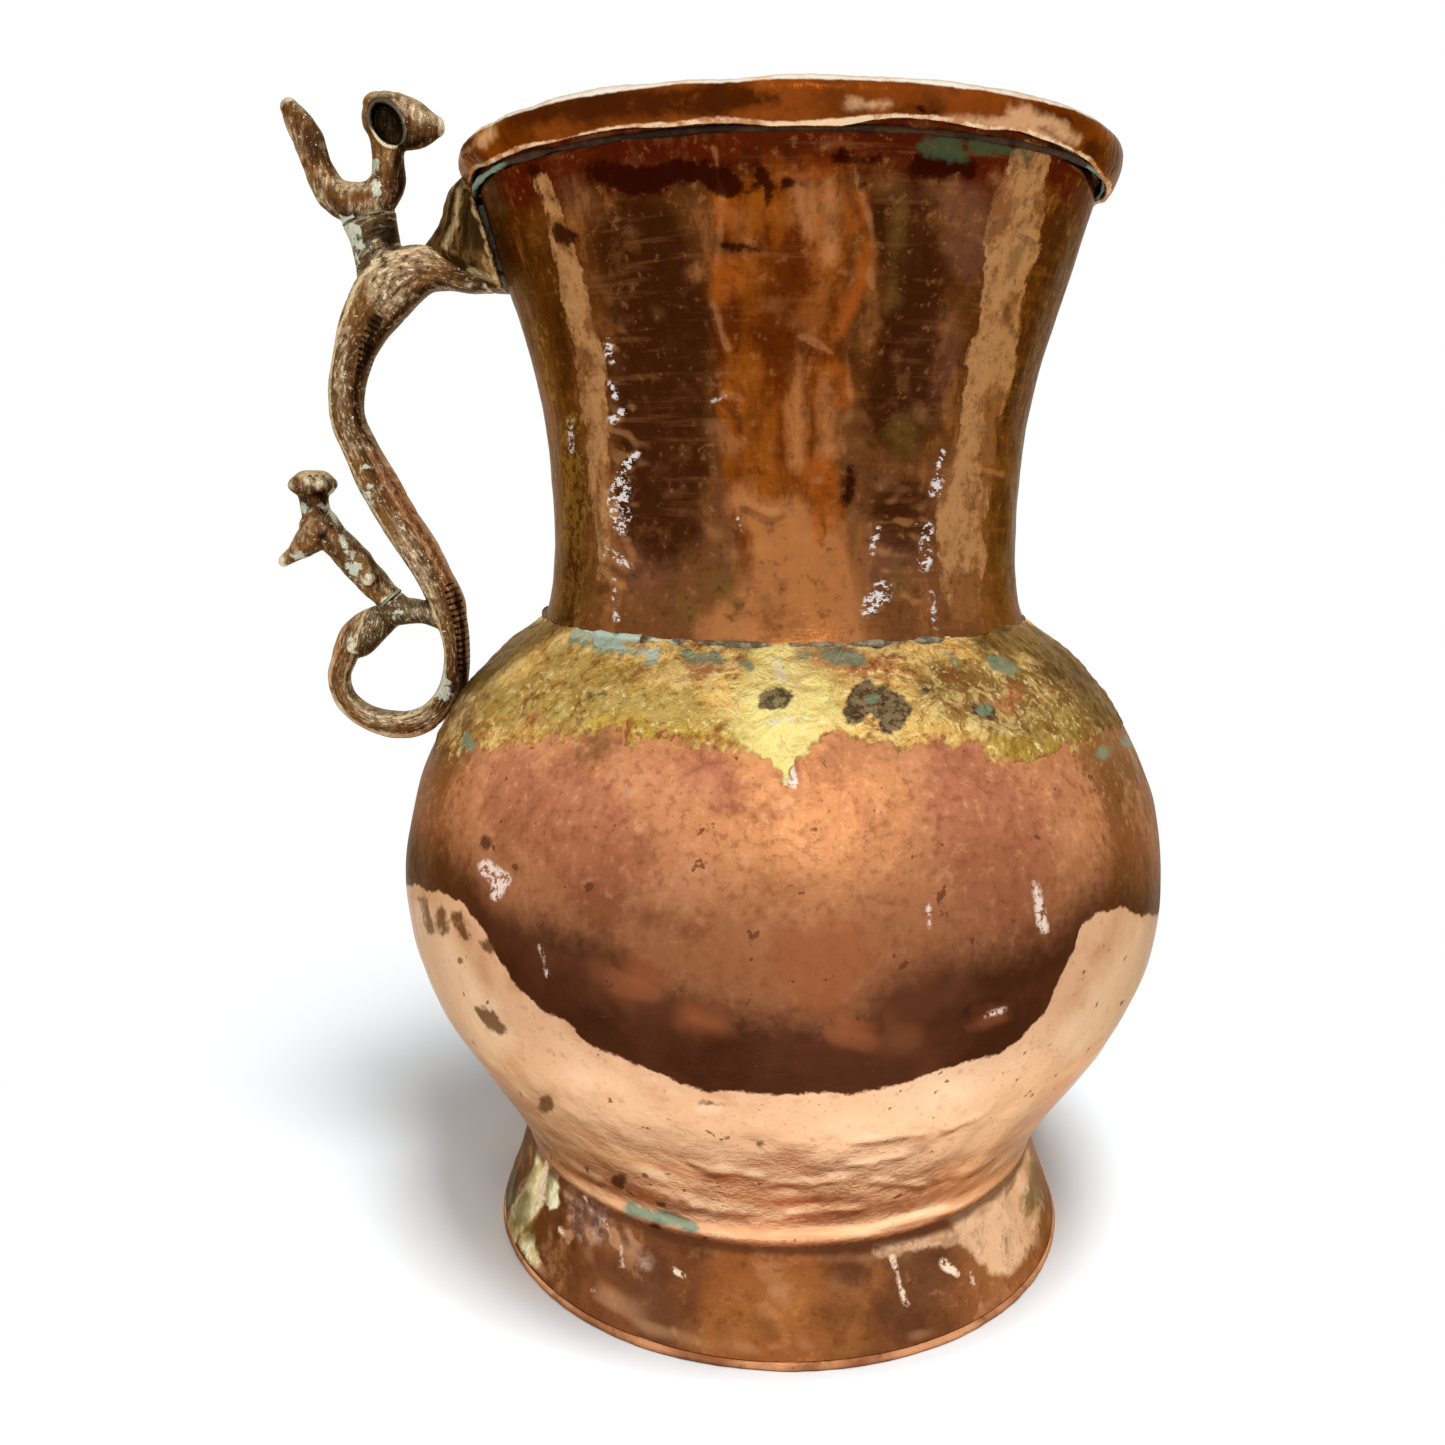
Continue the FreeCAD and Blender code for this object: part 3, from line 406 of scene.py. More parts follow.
class Finish:
    """A material for one kind of surface."""

    def __init__(self, name, metallic, edge_scale=70.0):
        self.material = bpy.data.materials.new(name)
        self.material.use_nodes = True
        self.tree = self.material.node_tree
        self.shader = next(n for n in self.tree.nodes if n.type == "BSDF_PRINCIPLED")
        self.shader.inputs["Metallic"].default_value = metallic
        self.shader.inputs["Specular Tint"].default_value = EDGE_TINT
        self.place = self.node("ShaderNodeTexCoord", {}, [], "Object")
        self.fine = self.noise(430, 5, 0.64)
        self.edge = self.noise(edge_scale, 6, 0.65) - 0.5 + (self.fine - 0.5) * 0.45

    def node(self, kind, settings, values, output=0):
        """Adds any node: its settings first, then the values or links of its inputs, and returns an output."""
        node = self.tree.nodes.new(kind)
        for key, value in settings.items():
            setattr(node, key, value)
        pairs = values.items() if isinstance(values, dict) else enumerate(values)
        for key, value in pairs:
            if isinstance(value, Wire):
                self.tree.links.new(value.socket, node.inputs[key])
            else:
                node.inputs[key].default_value = value
        return Wire(self, node.outputs[output])

    def field(self, name):
        """A number that the piece carries at its points."""
        return self.node("ShaderNodeAttribute", {"attribute_name": name}, [], "Fac")

    def lay(self, under, name, colour, share=1.0, soft=6, ragged=40):
        """A colour where a field of the piece is above nought, with a soft or ragged edge, in the field's unit."""
        depth = self.field(name) + self.edge * ragged
        return self.mix(self.step(depth, -soft, soft) * share, under, colour)

    def worked(self, under, light, dark, share=0.6):
        """Painted light and shade on the hammer marks: lighter where the sheet leans to the light, darker where it
        leans away.
        """
        lean = self.field("lean")
        body = self.mix(self.step(lean, 0.015, 0.09) * share, under, light)
        return self.mix(self.step(lean, -0.015, -0.09) * share, body, dark)

    def lined(self, body):
        """The sheet's own colour on its outer face, and a dull even brown on its inner face."""
        lining = self.mix(self.step(self.noise(30, 5, 0.6), 0.4, 0.6), shade(104, 72, 48), shade(138, 102, 72))
        lining = self.mix(self.step(self.fine, 0.52, 0.68) * 0.5, lining, shade(70, 44, 26))
        return self.mix(self.step(self.field("lining"), 0.45, 0.55), body, lining)

    def stretched(self, x, y, z):
        """The place on the piece, with each axis scaled."""
        return self.node("ShaderNodeVectorMath", {"operation": "MULTIPLY"}, [self.place, (x, y, z)])

    def noise(self, scale, detail=4.0, rough=0.55, place=None, warp=0.0):
        """A cloudy pattern between nought and one, on the piece's own place unless another is given."""
        values = {"Vector": place or self.place, "Scale": scale, "Detail": detail}
        values.update({"Roughness": rough, "Distortion": warp})
        return self.node("ShaderNodeTexNoise", {}, values, "Fac")

    def cells(self, scale):
        """Distance to the nearest of scattered places, smoothed."""
        values = {"Vector": self.place, "Scale": scale}
        return self.node("ShaderNodeTexVoronoi", {"feature": "SMOOTH_F1"}, values, "Distance")

    def step(self, value, low, high):
        """Nought below low, one above high, smooth between. Low may be the larger."""
        settings = {"interpolation_type": "SMOOTHSTEP"}
        values = {"Value": value, "From Min": min(low, high), "From Max": max(low, high)}
        wire = self.node("ShaderNodeMapRange", settings, values)
        return 1 - wire if low > high else wire

    def mix(self, share, under, over):
        """Colour over laid on colour under by a share."""
        values = {0: share, 6: as_colour(under), 7: as_colour(over)}
        return self.node("ShaderNodeMix", {"data_type": "RGBA"}, values, 2)

    def between(self, pattern, low, high, under, over):
        """Two colours shared out by a pattern, the second where the pattern is above high."""
        return self.mix(self.step(pattern, low, high), shade(*under), shade(*over))

    def coats(self, body, rows):
        """Colours laid on body one after another. A row gives what decides the place, the colour, its share and
        two numbers. After a field's name they are the edge's softness and raggedness. After a pattern they are
        the value where the colour begins and the value where it is full."""
        for cause, colour, share, first, second in rows:
            colour = shade(*colour) if isinstance(colour, tuple) else colour
            if isinstance(cause, str):
                body = self.lay(body, cause, colour, share, first, second)
            else:
                body = self.mix(self.step(cause, first, second) * share, body, colour)
        return body

    def blend(self, share, low, high):
        """A number between low and high."""
        return self.node("ShaderNodeMix", {"data_type": "FLOAT"}, {0: share, 2: low, 3: high}, 0)

    def bump(self, height, strength, distance):
        """A normal tilted by a pattern taken as height."""
        values = {"Strength": strength, "Distance": distance, "Height": height}
        return self.node("ShaderNodeBump", {}, values, "Normal")

    def wear(self, **inputs):
        """Feeds the shader's inputs, each by its name with spaces left out."""
        for name, value in inputs.items():
            socket = self.shader.inputs[name.replace("_", " ")]
            if isinstance(value, Wire):
                self.tree.links.new(value.socket, socket)
            else:
                socket.default_value = (*value, 1.0) if isinstance(value, tuple) else value
        return self.material


def shade(red, green, blue):
    """A colour from its display values, 0 to 255, as scene values."""
    values = np.array([red, green, blue]) / 255
    linear = np.where(values <= 0.04045, values / 12.92, ((values + 0.055) / 1.055) ** 2.4)
    return tuple(float(v) for v in linear)


def as_colour(value):
    """A colour socket's value: a wire as it is, three numbers with full cover."""
    return value if isinstance(value, Wire) else (*value, 1.0)


def dress(piece, material):
    piece.data.materials.clear()
    piece.data.materials.append(material)


# Bowl

BOWL_LINE = [
    (0.0, 13.8), (30, 15.9), (54, 20.3), (62.5, 22.5), (66.0, 24.6), (67.4, 27.0), (68.3, 31.0),
    (70.5, 35.6), (73.4, 40.8), (76.9, 46.6), (83.2, 56.9), (89.0, 67.3), (93.1, 77.6), (95.2, 87.9),
    (95.7, 98.3), (94.6, 108.6), (92.0, 118.9), (87.6, 129.2), (81.2, 139.6), (72.5, 149.9),
    (61.6, 158.6), (58.6, 161.0), (57.0, 164.2), (56.6, 168.4),
]


def bowl_radius(height):
    """The bowl's radius at heights above its waist."""
    line = np.array(BOWL_LINE[5:])
    return np.interp(height, line[:, 1], line[:, 0])


def bowl_dents(points):
    """Hammer work on the bowl: broad waves, hand-sized facets, ripples round the heel and a few deeper dents."""
    level = points[..., 2]
    share = soft_step(level, 28, 40) * soft_step(level, 160, 152)
    waves = 0.30 * ripple(points, 60, 11) + 0.19 * ripple(points, 24, 12) + 0.07 * ripple(points, 10, 13)
    flat = points * np.array([0.35, 0.35, 1.6])
    heel = soft_step(level, 52, 36) * soft_step(level, 27, 30)
    waves = waves + 0.07 * ripple(flat, 9, 14) * heel
    columns, rows = seen_place(points)
    hollows = strokes(columns, rows, [
        [(547, 1103, 14)], [(704, 1102, 10), (722, 1104, 8)], [(492, 862, 20), (504, 882, 24)],
        [(972, 1020, 10), (1000, 1010, 12)], [(838, 1024, 22), (866, 1032, 18)], [(626, 974, 18), (654, 984, 14)],
        [(776, 745, 24), (790, 800, 16)], [(920, 912, 6), (930, 920, 6)], [(700, 1010, 14), (732, 1026, 12)],
    ])
    folds = strokes(columns, rows, [
        [(770, 1186, 3), (812, 1184, 5), (850, 1178, 3)], [(872, 1180, 2), (923, 1186, 4)],
        [(852, 1141, 2), (884, 1138, 4), (923, 1132, 2)], [(848, 1166, 3), (902, 1156, 2)],
        [(944, 1128, 3), (980, 1116, 2)], [(690, 1164, 2), (716, 1172, 4), (760, 1178, 2)],
        [(690, 1206, 4), (744, 1214, 3)], [(790, 1214, 3), (860, 1208, 4)], [(940, 1180, 4), (990, 1160, 3)],
        [(560, 1160, 3), (600, 1182, 4)], [(880, 1226, 4), (960, 1208, 3)],
    ]) + 1.5 * ripple(points, 6, 15)
    return waves * share - 0.32 * soft_step(hollows, -12, 7) + 0.2 * soft_step(folds, -5, 3)


bowl = Sheet(
    "copper_bowl", BOWL_LINE, 1.3, round_places(362, 104), 178, 34, bowl_dents, True,
    [0.25] * 3 + [0.6] + [1] * 15 + [0.6] * 4,
)
place_in("copper_bowl", "copper", "bowl")
# the lower belly below this line is polished and carries a painted reflection of the pale table
horizon = [
    (400, 884), (418, 886), (440, 892), (462, 905), (484, 930), (500, 962), (518, 988), (545, 1012), (566, 1022),
    (590, 1046), (640, 1068), (700, 1086), (752, 1092), (800, 1096), (850, 1092), (905, 1082), (942, 1068),
    (985, 1056), (1018, 1040), (1044, 1012), (1058, 980), (1074, 952), (1080, 926), (1096, 912), (1122, 908),
    (1140, 915), (1165, 912),
]
heel_line = [
    (470, 1040), (500, 1078), (524, 1098), (560, 1118), (616, 1141), (650, 1152), (691, 1162), (740, 1180),
    (787, 1188), (840, 1186), (900, 1178), (960, 1164), (1000, 1142), (1030, 1118), (1060, 1082), (1100, 1040),
]
# below this line the belly carries a painted dark reflection, down to the table's reflection
dusk = [
    (400, 830), (460, 868), (508, 902), (576, 928), (640, 962), (713, 1006), (800, 1012), (849, 1014), (895, 968),
    (963, 950), (1054, 934), (1100, 900), (1170, 880),
]
shade_line = [(400, 800), (500, 830), (620, 862), (800, 900), (960, 868), (1060, 850), (1170, 810)]
columns, rows = bowl.columns, bowl.rows
give(
    bowl.piece,
    polished=below_line(columns, rows, horizon),
    heel=below_line(columns, rows, heel_line),
    dusk=below_line(columns, rows, dusk),
    dim=below_line(columns, rows, shade_line),
)
mark(
    bowl.piece, columns, rows,
    # orange patches on dents in the dark band: painted reflections
    ember=[
        [(640, 976, 34), (660, 980, 20)], [(846, 1026, 34), (862, 1030, 24)], [(690, 1016, 26), (720, 1024, 20)],
        [(800, 960, 60), (822, 990, 50), (840, 950, 60)], [(986, 1016, 12), (1000, 1012, 8)],
    ],
    # glow: painted sheen, lighter down the belly's middle and on two patches to the right
    glow=[
        [(770, 770, 90), (790, 820, 150), (800, 870, 130)], [(890, 800, 60), (880, 870, 50)],
        [(1086, 830, 46), (1078, 890, 40)],
    ],
    rose=[
        [(520, 790, 80), (580, 830, 110), (620, 880, 70)], [(960, 780, 80), (1000, 840, 110), (1000, 900, 90)],
        [(700, 770, 50), (720, 790, 40)],
    ],
    rust=[
        [(430, 750, 40), (424, 850, 30)], [(590, 905, 40), (690, 930, 30)], [(1124, 790, 60), (1140, 850, 40)],
        [(1102, 790, 20)],
    ],
    # pale: lighter ends of the painted reflection of the table
    pale=[[(424, 920, 30), (450, 980, 40), (490, 1040, 44)], [(1140, 930, 30), (1120, 990, 40), (1080, 1040, 40)]],
    # dark pits, the deeper dents darkened as painted shade, and a painted shadow line in the groove above the foot
    stain=[
        [(424, 900, 6), (430, 930, 7)], [(440, 912, 8), (444, 932, 7)], [(456, 918, 9), (466, 938, 6)],
        [(488, 946, 16)], [(478, 1010, 10), (500, 1030, 16)], [(545, 1104, 18)], [(700, 1102, 13), (720, 1104, 9)],
        [(965, 890, 7)], [(760, 1143, 7)], [(486, 842, 11)], [(620, 1180, 10)], [(655, 1226, 14)], [(980, 1010, 16)],
        [(640, 1250, 8), (900, 1256, 8)],
    ],
    glint=[
        [(486, 868, 16), (502, 880, 20), (496, 896, 12)], [(520, 885, 3), (526, 905, 3)],
        [(928, 906, 5), (930, 926, 5)], [(1036, 884, 6), (1044, 930, 8)], [(984, 1016, 4), (1004, 1010, 6)],
        [(540, 945, 3), (548, 975, 3)], [(416, 905, 4), (420, 935, 4)], [(790, 770, 8), (794, 784, 8)],
    ],
    verdigris=[
        [(630, 1212, 12), (664, 1218, 16), (690, 1226, 11)], [(470, 745, 12)], [(1127, 742, 9)], [(626, 794, 5)],
        [(1105, 752, 12)],
    ],
    olive=[[(470, 700, 90), (440, 760, 50)], [(1110, 740, 70), (1128, 800, 40)], [(600, 745, 30)]],
)

copper = Finish("aged copper sheet", 0.94, 60)
broad = copper.noise(15, 5, 0.6)
mottle = copper.noise(62, 6, 0.7)
specks = copper.noise(950, 3, 0.7)
body = copper.between(broad, 0.36, 0.64, (184, 120, 82), (210, 140, 94))
body = copper.coats(body, [
    # painted sheen
    ("glow", (222, 152, 98), 0.85, 34, 70),
    ("rose", (186, 114, 82), 0.8, 12, 60),
    ("rust", (124, 68, 40), 0.75, 12, 70),
    ("olive", (124, 88, 44), 0.7, 14, 80),
    (mottle, (148, 86, 58), 0.4, 0.5, 0.66),
    (mottle, (236, 168, 122), 0.4, 0.48, 0.36),
    (copper.fine, (132, 74, 48), 0.45, 0.5, 0.66),
    (copper.fine, (244, 178, 130), 0.35, 0.44, 0.34),
])
# painted light and shade on the hammer dents
body = copper.worked(body, shade(230, 164, 118), shade(116, 64, 40), 0.4)
# painted shade: the belly darker below the shade line
body = copper.lay(body, "dim", shade(138, 82, 50), 0.72, 74, 60)
# colour of the painted dark reflection
dark = copper.between(copper.noise(34, 5, 0.6), 0.4, 0.6, (64, 30, 14), (92, 50, 30))
# painted light and shade on the hammer dents inside the dark reflection
dark = copper.worked(dark, shade(150, 88, 54), shade(40, 18, 9), 0.6)
body = copper.coats(body, [
    ("dusk", dark, 0.96, 30, 60),
    # painted dark reflection, darkest just above the table's reflection
    (copper.field("polished") + copper.edge * 60, (62, 28, 14), 0.55, -80, -4),
    # painted orange reflections on dents
    ("ember", (164, 92, 54), 0.6, 14, 30),
])
# painted reflection of the pale table on the polished lower belly
bright = copper.between(broad, 0.35, 0.65, (220, 170, 130), (238, 190, 150))
bright = copper.coats(bright, [
    (mottle, (196, 138, 98), 0.5, 0.52, 0.68),
    (copper.fine, (176, 118, 82), 0.35, 0.56, 0.7),
])
# painted light and shade on the hammer dents inside the table's reflection
bright = copper.worked(bright, shade(252, 214, 178), shade(190, 132, 94), 0.5)
# lighter left and right ends of the painted reflection
bright = copper.lay(bright, "pale", shade(246, 208, 172), 0.75, 12, 40)
# where the painted reflection of the table lies; the same place is also made less rough
polished = copper.step(copper.field("polished") + copper.edge * 22, -1.5, 2)
body = copper.mix(polished, body, bright)
low = copper.noise(1, 5, 0.6, copper.stretched(45, 45, 190))
# the heel, lighter peach: painted reflection of the pale table
heel = copper.between(low, 0.34, 0.64, (238, 166, 118), (255, 204, 156))
# painted light and shade on the hammer dents of the heel
heel = copper.worked(heel, shade(255, 220, 178), shade(178, 112, 74), 0.5)
grains = copper.step(copper.noise(700, 3, 0.7), 0.42, 0.52)
body = copper.coats(body, [
    ("heel", heel, 1.0, 9, 40),
    (copper.noise(230, 3, 0.6), (96, 52, 32), 0.75, 0.665, 0.7),
    # dark pits, with painted shade in dents and in the groove above the foot
    ("stain", (84, 42, 24), 0.85, 2.5, 26),
    (specks, (92, 48, 28), 0.6, 0.66, 0.72),
    ("verdigris", (128, 160, 136), 0.85, 3, 30),
    (copper.field("glint") + copper.edge * 16, (240, 214, 198), grains, -2, 2),
])
body = copper.lined(body)
relief = copper.cells(70) * 0.5 + mottle * 0.3 + copper.noise(150, 5, 0.6) * 0.3 + copper.fine * (0.3 - polished * 0.18)
copper_skin = copper.wear(
    Base_Color=body,
    Roughness=copper.blend(polished, 0.38, 0.24) + (copper.fine - 0.5) * 0.25,
    Normal=copper.bump(relief, 0.7, 0.0012),
)
dress(bowl.piece, copper_skin)

# Neck

NECK_LINE = [
    (59.6, 160.4), (58.7, 162.9), (57.7, 167.5), (57.0, 173.9), (56.8, 182), (56.9, 189.5), (57.4, 197),
    (58.1, 205.1), (59.3, 213), (60.9, 220.7), (63.0, 228.6), (65.3, 236.4), (67.5, 244), (69.8, 252),
    (72.0, 259.0), (73.6, 264.4),
]


def neck_radius(height):
    """The neck's radius at heights."""
    line = np.array(NECK_LINE)
    return np.interp(height, line[:, 1], line[:, 0])


def neck_dents(points):
    """Planishing marks on the neck: tall waves, small facets, a crease at the right and wrinkles in two strips."""
    level = points[..., 2]
    share = soft_step(level, 161, 170) * soft_step(level, 262, 254)
    tall = points * np.array([1.0, 1.0, 0.4])
    waves = 0.20 * ripple(tall, 26, 21) + 0.10 * ripple(points, 13, 22) + 0.04 * ripple(points, 6, 23)
    columns, rows = seen_place(points)
    wrinkled = strokes(columns, rows, [
        [(612, 345, 34), (626, 480, 40), (612, 610, 36)], [(905, 525, 60), (905, 575, 60)],
    ])
    flat = points * np.array([1.0, 1.0, 1.8])
    waves = waves + (0.07 * ripple(flat, 5, 24) + 0.08 * ripple(flat, 9, 25)) * soft_step(wrinkled, -14, 12)
    seams = strokes(columns, rows, [
        [(712, 150, 5), (718, 220, 8), (708, 300, 5), (724, 352, 6)], [(722, 398, 6), (738, 404, 9), (742, 430, 4)],
        [(846, 150, 4), (866, 230, 7), (866, 290, 8), (842, 340, 6), (846, 400, 8), (834, 470, 9), (824, 540, 6)],
        [(744, 506, 3), (770, 516, 6), (786, 512, 3)], [(800, 340, 4), (830, 356, 7)], [(976, 470, 3), (1000, 478, 5)],
        [(1020, 232, 4), (1036, 240, 6)], [(1006, 300, 4), (1016, 330, 5)], [(600, 470, 5), (606, 560, 6)],
    ]) + 2 * ripple(points, 7, 26)
    waves = waves + 0.24 * soft_step(seams, -5, 4)
    crease = strokes(columns, rows, [[(1053, 143, 6), (1069, 152, 6), (1089, 168, 7), (1100, 196, 7)]])
    return waves * share - 0.8 * soft_step(crease, -5, 3) * soft_step(level, 264, 258)


neck = Sheet("copper_neck", NECK_LINE, 1.2, round_places(360, 90), 170, 30, neck_dents)
place_in("copper_neck", "copper", "neck", "neck_seam_braze")
columns, rows = neck.columns, neck.rows
give(neck.piece, low=200 - neck.points[:, 2], high=neck.points[:, 2] - 251)
mark(
    neck.piece, columns, rows,
    # centre: orange band down the front, tarnish colour with a painted reflection
    centre=[
        [(772, 150, 150), (780, 200, 132), (782, 260, 140), (778, 340, 130), (772, 400, 110), (776, 460, 110),
         (790, 520, 110), (800, 600, 120)],
    ],
    # orange streaks: painted reflections
    ember=[
        [(718, 196, 14), (719, 226, 14)], [(716, 262, 16), (728, 276, 30), (720, 296, 22)],
        [(724, 404, 16), (736, 396, 20)], [(858, 200, 10), (852, 224, 16)],
        [(864, 244, 18), (862, 280, 18), (848, 310, 14), (838, 334, 14)], [(838, 370, 14), (842, 396, 18)],
        [(820, 474, 28), (826, 505, 30), (820, 530, 18)], [(760, 150, 60), (830, 150, 50)],
    ],
    panel=[
        [(800, 170, 24), (806, 230, 18)], [(830, 180, 14), (832, 260, 10)], [(800, 360, 12), (796, 460, 18)],
        [(826, 380, 10), (824, 450, 14)],
        [(752, 520, 30), (790, 530, 70), (800, 560, 110), (800, 600, 140), (790, 640, 180)], [(700, 270, 10)],
        [(742, 500, 30)],
    ],
    streak=[
        [(543, 178, 12), (556, 216, 16), (566, 244, 18), (582, 320, 26), (591, 380, 32), (599, 440, 24),
         (604, 520, 22), (608, 574, 16)],
        [(1030, 166, 44), (1024, 200, 54), (1012, 240, 54), (1008, 280, 44), (992, 360, 46), (976, 440, 40),
         (964, 490, 50), (962, 560, 42), (964, 604, 34)],
    ],
    rib=[[(572, 420, 16), (574, 480, 24), (572, 560, 26), (568, 620, 26)], [(540, 330, 8), (552, 400, 8)]],
    shady=[
        [(640, 240, 90), (662, 330, 104), (664, 430, 104), (660, 520, 88)],
        [(910, 200, 60), (915, 300, 60), (900, 420, 70)], [(1066, 200, 20), (1034, 320, 20), (1006, 440, 22)],
        [(1003, 500, 12), (1003, 600, 10)], [(900, 506, 60), (906, 520, 50)], [(560, 300, 12), (566, 380, 12)],
        [(1042, 248, 10)], [(978, 320, 6), (974, 360, 6)], [(880, 210, 30), (884, 260, 20)],
    ],
    oxide=[
        [(590, 172, 16), (640, 180, 36), (700, 172, 30), (728, 184, 20)],
        [(556, 228, 7), (572, 238, 8), (592, 228, 6)], [(766, 172, 22), (768, 196, 20)], [(784, 182, 14)],
        [(722, 246, 5), (760, 248, 5)], [(846, 168, 6)], [(864, 184, 8)], [(535, 170, 14)], [(552, 200, 7)],
        [(840, 158, 20), (880, 160, 20)], [(850, 470, 5), (848, 500, 7)], [(884, 346, 4)], [(736, 351, 3)],
        [(920, 166, 26), (966, 168, 16)],
    ],
    rose=[
        [(560, 176, 26), (580, 200, 34)], [(620, 360, 20), (640, 420, 26), (640, 480, 30)],
        [(960, 200, 50), (970, 260, 40)], [(934, 330, 50), (920, 400, 50)], [(640, 560, 60)], [(880, 560, 60)],
    ],
    olive=[
        [(722, 584, 26), (734, 600, 20)], [(686, 608, 20)], [(764, 600, 14)], [(580, 600, 20)], [(1012, 560, 20)],
        [(900, 190, 10), (890, 300, 10)], [(900, 580, 18)], [(906, 440, 40)],
    ],
    spark=[
        [(608, 342, 8), (612, 362, 10)], [(610, 384, 10), (614, 396, 8)], [(612, 420, 8), (622, 412, 6)],
        [(638, 452, 6), (624, 470, 14), (618, 500, 20), (622, 528, 12)], [(608, 552, 8), (630, 566, 10)],
        [(614, 580, 6), (616, 620, 7)], [(876, 530, 8), (872, 552, 6)], [(880, 590, 20), (868, 612, 14)],
        [(942, 452, 6), (934, 490, 10)], [(928, 528, 10), (924, 566, 10)], [(916, 524, 4)],
        [(930, 594, 6), (936, 628, 4)], [(570, 418, 5), (572, 450, 4)], [(712, 402, 5), (724, 396, 4)],
        [(738, 520, 5), (744, 534, 4)],
    ],
    verdigris=[
        [(926, 144, 14), (950, 148, 16), (962, 158, 8)], [(972, 146, 6), (1000, 146, 10), (1024, 154, 8)],
        [(484, 178, 9)],
    ],
    crease=[[(1053, 142, 3), (1072, 151, 4), (1090, 166, 4), (1102, 186, 4), (1098, 200, 3)]],
)

brown = Finish("dark copper of the neck", 0.98, 85)
broad = brown.noise(18, 5, 0.6)
mottle = brown.noise(70, 6, 0.7)
tall = brown.noise(1, 5, 0.62, brown.stretched(90, 90, 26)) - 0.5
brushed = brown.noise(1, 4, 0.6, brown.stretched(50, 50, 520))
# dark brown base: tarnish, darkened further as a painted dark reflection
body = brown.between(broad, 0.36, 0.64, (82, 40, 12), (104, 58, 22))
body = brown.coats(body, [
    ("low", (128, 80, 46), 0.6, 16, 30),
    ("rose", (112, 68, 48), 0.6, 9, 40),
    (tall + brown.edge * 0.2, (178, 112, 58), 0.3, -0.06, -0.14),
    ("shady", (56, 23, 4), 0.9, 16, 40),
    # orange centre: tarnish colour with a painted reflection
    (brown.field("centre") + tall * 50 + brown.edge * 20, brown.between(tall, -0.1, 0.1, (94, 36, 2), (148, 76, 16)),
     0.95, -9, 9),
    (brown.field("panel") + tall * 70 + brown.edge * 40, (190, 122, 70), 0.75, -10, 12),
    # painted orange reflections in streaks
    (brown.field("ember") + tall * 30 + brown.edge * 16, (168, 84, 24), 0.75, -8, 6),
    ("high", (78, 18, 2), 0.92, 3.5, 12),
])
streaks = brown.step(brown.field("streak") + tall * 26 + brown.edge * 30 + (mottle - 0.5) * 16, -1.5, 1.5)
body = brown.mix(streaks * 0.94, body, brown.between(mottle, 0.42, 0.58, (132, 84, 46), (196, 142, 90)))
# painted light and shade on the hammer dents
body = brown.worked(body, shade(196, 136, 84), shade(44, 18, 5), 0.36)
grains = brown.step(brown.noise(1, 3, 0.7, brown.stretched(520, 520, 900)), 0.50, 0.56)
body = brown.coats(body, [
    ("rib", brown.between(brown.fine, 0.44, 0.56, (84, 52, 14), (164, 118, 58)), 0.8, 4, 30),
    ("olive", (112, 82, 34), 0.6, 9, 60),
    (mottle, (56, 24, 7), 0.5, 0.5, 0.68),
    (mottle, (166, 104, 56), 0.22, 0.46, 0.34),
    (brushed, (176, 112, 62), 0.16, 0.54, 0.72),
    (brown.fine, (46, 20, 7), 0.45, 0.54, 0.7),
    (brown.fine, (190, 130, 80), 0.22, 0.42, 0.32),
    (brown.noise(900, 3, 0.7), (34, 14, 6), 0.6, 0.68, 0.74),
    ("oxide", (42, 6, 1), 0.92, 4, 44),
    ("verdigris", (66, 80, 52), 0.8, 5, 44),
    ("crease", (168, 178, 150), 0.85, 1.2, 4),
    (brown.field("spark") + brown.edge * 20, (226, 218, 212), grains, -2, 2),
])
body = brown.lined(body)
relief = brown.cells(85) * 0.3 + mottle * 0.4 + brown.fine * 0.25 + tall * 0.6 + brushed * 0.25
dress(neck.piece, brown.wear(
    Base_Color=body, Roughness=0.32 + (brown.fine - 0.5) * 0.3, Normal=brown.bump(relief, 0.7, 0.0012),
))

# Spelter on the shoulder: a thin skin that thins out into the bowl along a ragged edge


def spelter_skin(name, azimuths, rows):
    """The bowl's own surface from the neck's foot down, dents and all, raised by the spelter's thickness. The
    thickness falls from its middle value to below nought past a drawn edge, where the skin dives under the
    copper. The inner face lies 0.5 mm under the copper."""
    line = smooth_line([(88.0, 128.2), (84.6, 134.5), *BOWL_LINE[18:22]], rows)
    normals = outward(line)
    base = round_points(line, azimuths)
    ways = round_points(normals, azimuths)
    base = base + ways * bowl_dents(base)[..., None]
    columns, photo_rows = seen_place(base)
    ragged = 5 * ripple(base, 16, 31) + 5 * ripple(base, 7, 32) + 5 * ripple(base, 3.2, 33) + 4 * ripple(base, 1.9, 37)
    inside = -below_line(columns, photo_rows, spelter_edge) + ragged
    lumps = 0.14 * ripple(base, 9, 34) + 0.12 * ripple(base, 4, 35) + 0.06 * ripple(base, 2.2, 36)
    thickness = 0.32 + lumps
    height = np.where(inside > 0, thickness * soft_step(inside, 0, 10) + 0.02, -0.3 * soft_step(-inside, 0, 5))
    ramp = soft_step(base[..., 2], 128.5, 131)
    outer = base + ways * (height * ramp - 0.45 * (1 - ramp))[..., None]
    inner = (base - ways * 0.5)[::-1]
    points, faces = closed(np.concatenate([outer, inner]), False)
    piece = new_piece(name, points, faces)
    give(piece, inside=np.concatenate([inside, inside[::-1]]).reshape(-1))
    return piece, points


